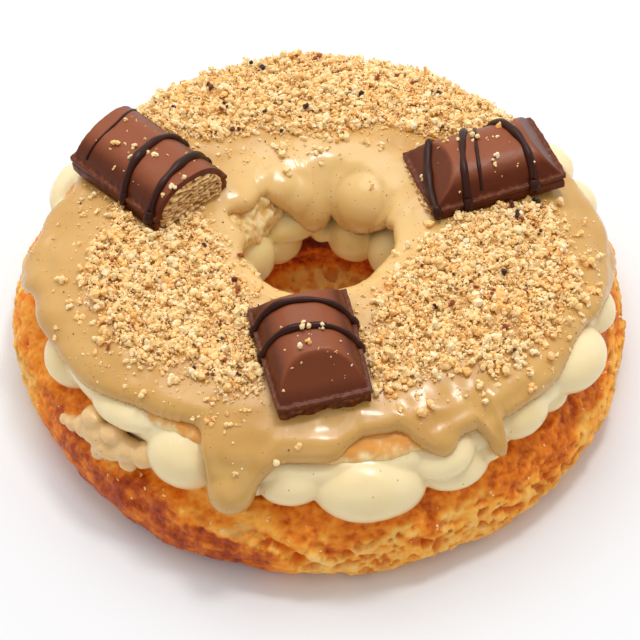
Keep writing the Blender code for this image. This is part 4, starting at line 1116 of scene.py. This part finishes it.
def joinCopies(name, rng, spots, lumps, rounded, material):
    # Joins a scaled and turned copy of one of a few nuggets for each spot into one mesh
    shapes = []
    for _ in range(crumbs["shapes"]):
        template = nugget(rng, lumps, rounded)
        shapes.append((coordsOf(template) * mm, np.array([face.vertices[:] for face in template.polygons])))
        bpy.data.meshes.remove(template)
    points, faces, tone, start = [], [], [], 0
    for place, size, kind, spin, shade in spots:
        local, corners = shapes[kind]
        points.append(local @ spin.T * size + place)
        faces.append(corners + start)
        tone.append(np.full(len(local), shade))
        start += len(local)
    mesh = bpy.data.meshes.new(name)
    mesh.from_pydata((np.concatenate(points) * mm).tolist(), [], np.concatenate(faces).tolist())
    mesh.update()
    setValues(mesh, "tone", np.concatenate(tone))
    return finishPiece(name, mesh, material, (), False)


def nutMaterial():
    # Chopped roasted nuts: dry pale bits, golden to toasted from crumb to crumb
    material, tree, shader, coords = newMaterial("chopped_roasted_nuts", 0.65, 0.3)
    mixed = mottled(tree, valueOn(tree, "tone"), cloudAt(tree, coords, 900.0, 3.0), 0.3, 0.15)
    colour = shades(tree, mixed, (0.0, "#ffefc6"), (0.4, "#ffdd9c"), (0.7, "#fcc272"), (1.0, "#cc8034"))
    setInputs(tree, shader, {"Base Color": colour})
    return material


def skinMaterial():
    # Roasted nut skin: almost black to wine red flecks with a faint shine
    material, tree, shader, _ = newMaterial("roasted_nut_skin", 0.4)
    colour = shades(tree, valueOn(tree, "tone"), (0.0, "#2a1418"), (0.5, "#6a2a1c"), (1.0, "#a4552c"))
    setInputs(tree, shader, {"Base Color": colour})
    return material


def bedDensity(azimuth, radius):
    inner, outer = stationAt(crumbs["beds"], azimuth, 1), stationAt(crumbs["beds"], azimuth, 2)
    inside = min(radius - inner, outer - radius)
    return float(ease((inside + 1.0) / 7.0)) + 0.07 * float(ease((inside + 9.0) / 6.0)) + 0.012


def underBar(point, margin):
    for name in barNames:
        bar = bars[name]
        local = turnOf(bar).transposed() @ (point - Vector(bar["centre"]))
        if abs(local.x) < bar["length"] / 2 + margin and abs(local.y) < bars["width"] / 2 + margin:
            return True
    return False


def dropOn(surface, x, y):
    hit = surface.ray_cast(Vector((x * mm, y * mm, 0.2)), Vector((0.0, 0.0, -1.0)))[0]
    return None if hit is None else hit / mm


def lieAt(rng, place, size):
    # A crumb's place and size with one of the shapes, a turn and a shade for it
    kind = rng.randrange(crumbs["shapes"])
    spin = np.array(Euler([rng.uniform(0.0, math.tau) for _ in range(3)]).to_matrix())
    return np.array(place), size, kind, spin, min(1.0, max(0.0, rng.gauss(0.34, 0.17)))


def strew(rng, surface, heap, count, small, large, sunk):
    # Drops crumbs over the beds, each on those that lie there already
    spots, tries, cell = [], 0, crumbs["cell"]
    least, greatest = crumbs["reach"]
    while len(spots) < count and tries < count * 30:
        tries += 1
        azimuth = rng.uniform(0.0, 360.0)
        radius = math.sqrt(rng.uniform(least ** 2, greatest ** 2))
        if rng.random() > bedDensity(azimuth, radius):
            continue
        turn = math.radians(azimuth)
        x, y = radius * math.cos(turn), radius * math.sin(turn)
        size = small + (large - small) * rng.random() ** 1.8
        point = dropOn(surface, x, y)
        if point is None or underBar(point, 0.3 * size):
            continue
        reach = max(1, int(size / cell))
        column, row = int(x // cell), int(y // cell)
        steps = range(-reach, reach + 1)
        around = [(column + i, row + j) for i in steps for j in steps if i * i + j * j <= reach * reach]
        lift = sum(heap.get(key, 0.0) for key in around) / len(around)
        if lift > crumbs["heap"]:
            continue
        for key in around:
            heap[key] = max(heap.get(key, 0.0), lift + 0.7 * size)
        spots.append(lieAt(rng, (x, y, point.z + lift + sunk * size), size))
    return spots


def makeCrumbs():
    rng = random.Random(crumbs["seed"])
    graph = bpy.context.evaluated_depsgraph_get()
    surface, crust = BVHTree.FromObject(glazePiece, graph), BVHTree.FromObject(basePiece, graph)
    heap, cell = {}, crumbs["cell"]
    nuts, skins = nutMaterial(), skinMaterial()
    for name, count, small, large, lumps, rounded in crumbs["kinds"]:
        joinCopies(name, rng, strew(rng, surface, heap, count, small, large, 0.35), lumps, rounded, nuts)
    for name, count, small, large, lumps, rounded in crumbs["skins"]:
        spots = []
        for place, size, kind, spin, _ in strew(rng, surface, {}, count, small, large, 0.6):
            place[2] += heap.get((int(place[0] // cell), int(place[1] // cell)), 0.0)
            spots.append((place, size, kind, spin, rng.random() ** 1.5))
        joinCopies(name, rng, spots, lumps, rounded, skins)

    spots = []
    for name in barNames:
        bar = bars[name]
        for x, y, size in bar["crumbs"]:
            spots.append(lieAt(rng, onBar(bar, [(x, y, domeHeight(bar, x, y) + 0.45 * size)])[0], size))
        for _ in range(crumbs["onBar"]):
            x, y = rng.uniform(-0.45, 0.45) * bar["length"], rng.uniform(-0.42, 0.42) * bars["width"]
            size = rng.uniform(0.1, 0.26)
            spots.append(lieAt(rng, onBar(bar, [(x, y, domeHeight(bar, x, y) + 0.4 * size)])[0], size))
    for _ in range(crumbs["onCrust"]):
        turn, radius = rng.uniform(0.0, math.tau), rng.uniform(*crumbs["crustBand"])
        point = dropOn(crust, radius * math.cos(turn), radius * math.sin(turn))
        if point is not None and point.z > 8.0:
            size = rng.uniform(0.2, 0.55)
            spots.append(lieAt(rng, np.array(point) + 0.3 * size, size))
    joinCopies("stray_crumbs", rng, spots, 4, True, nuts)


makeCrumbs()
print("nut crumbs are strewn")
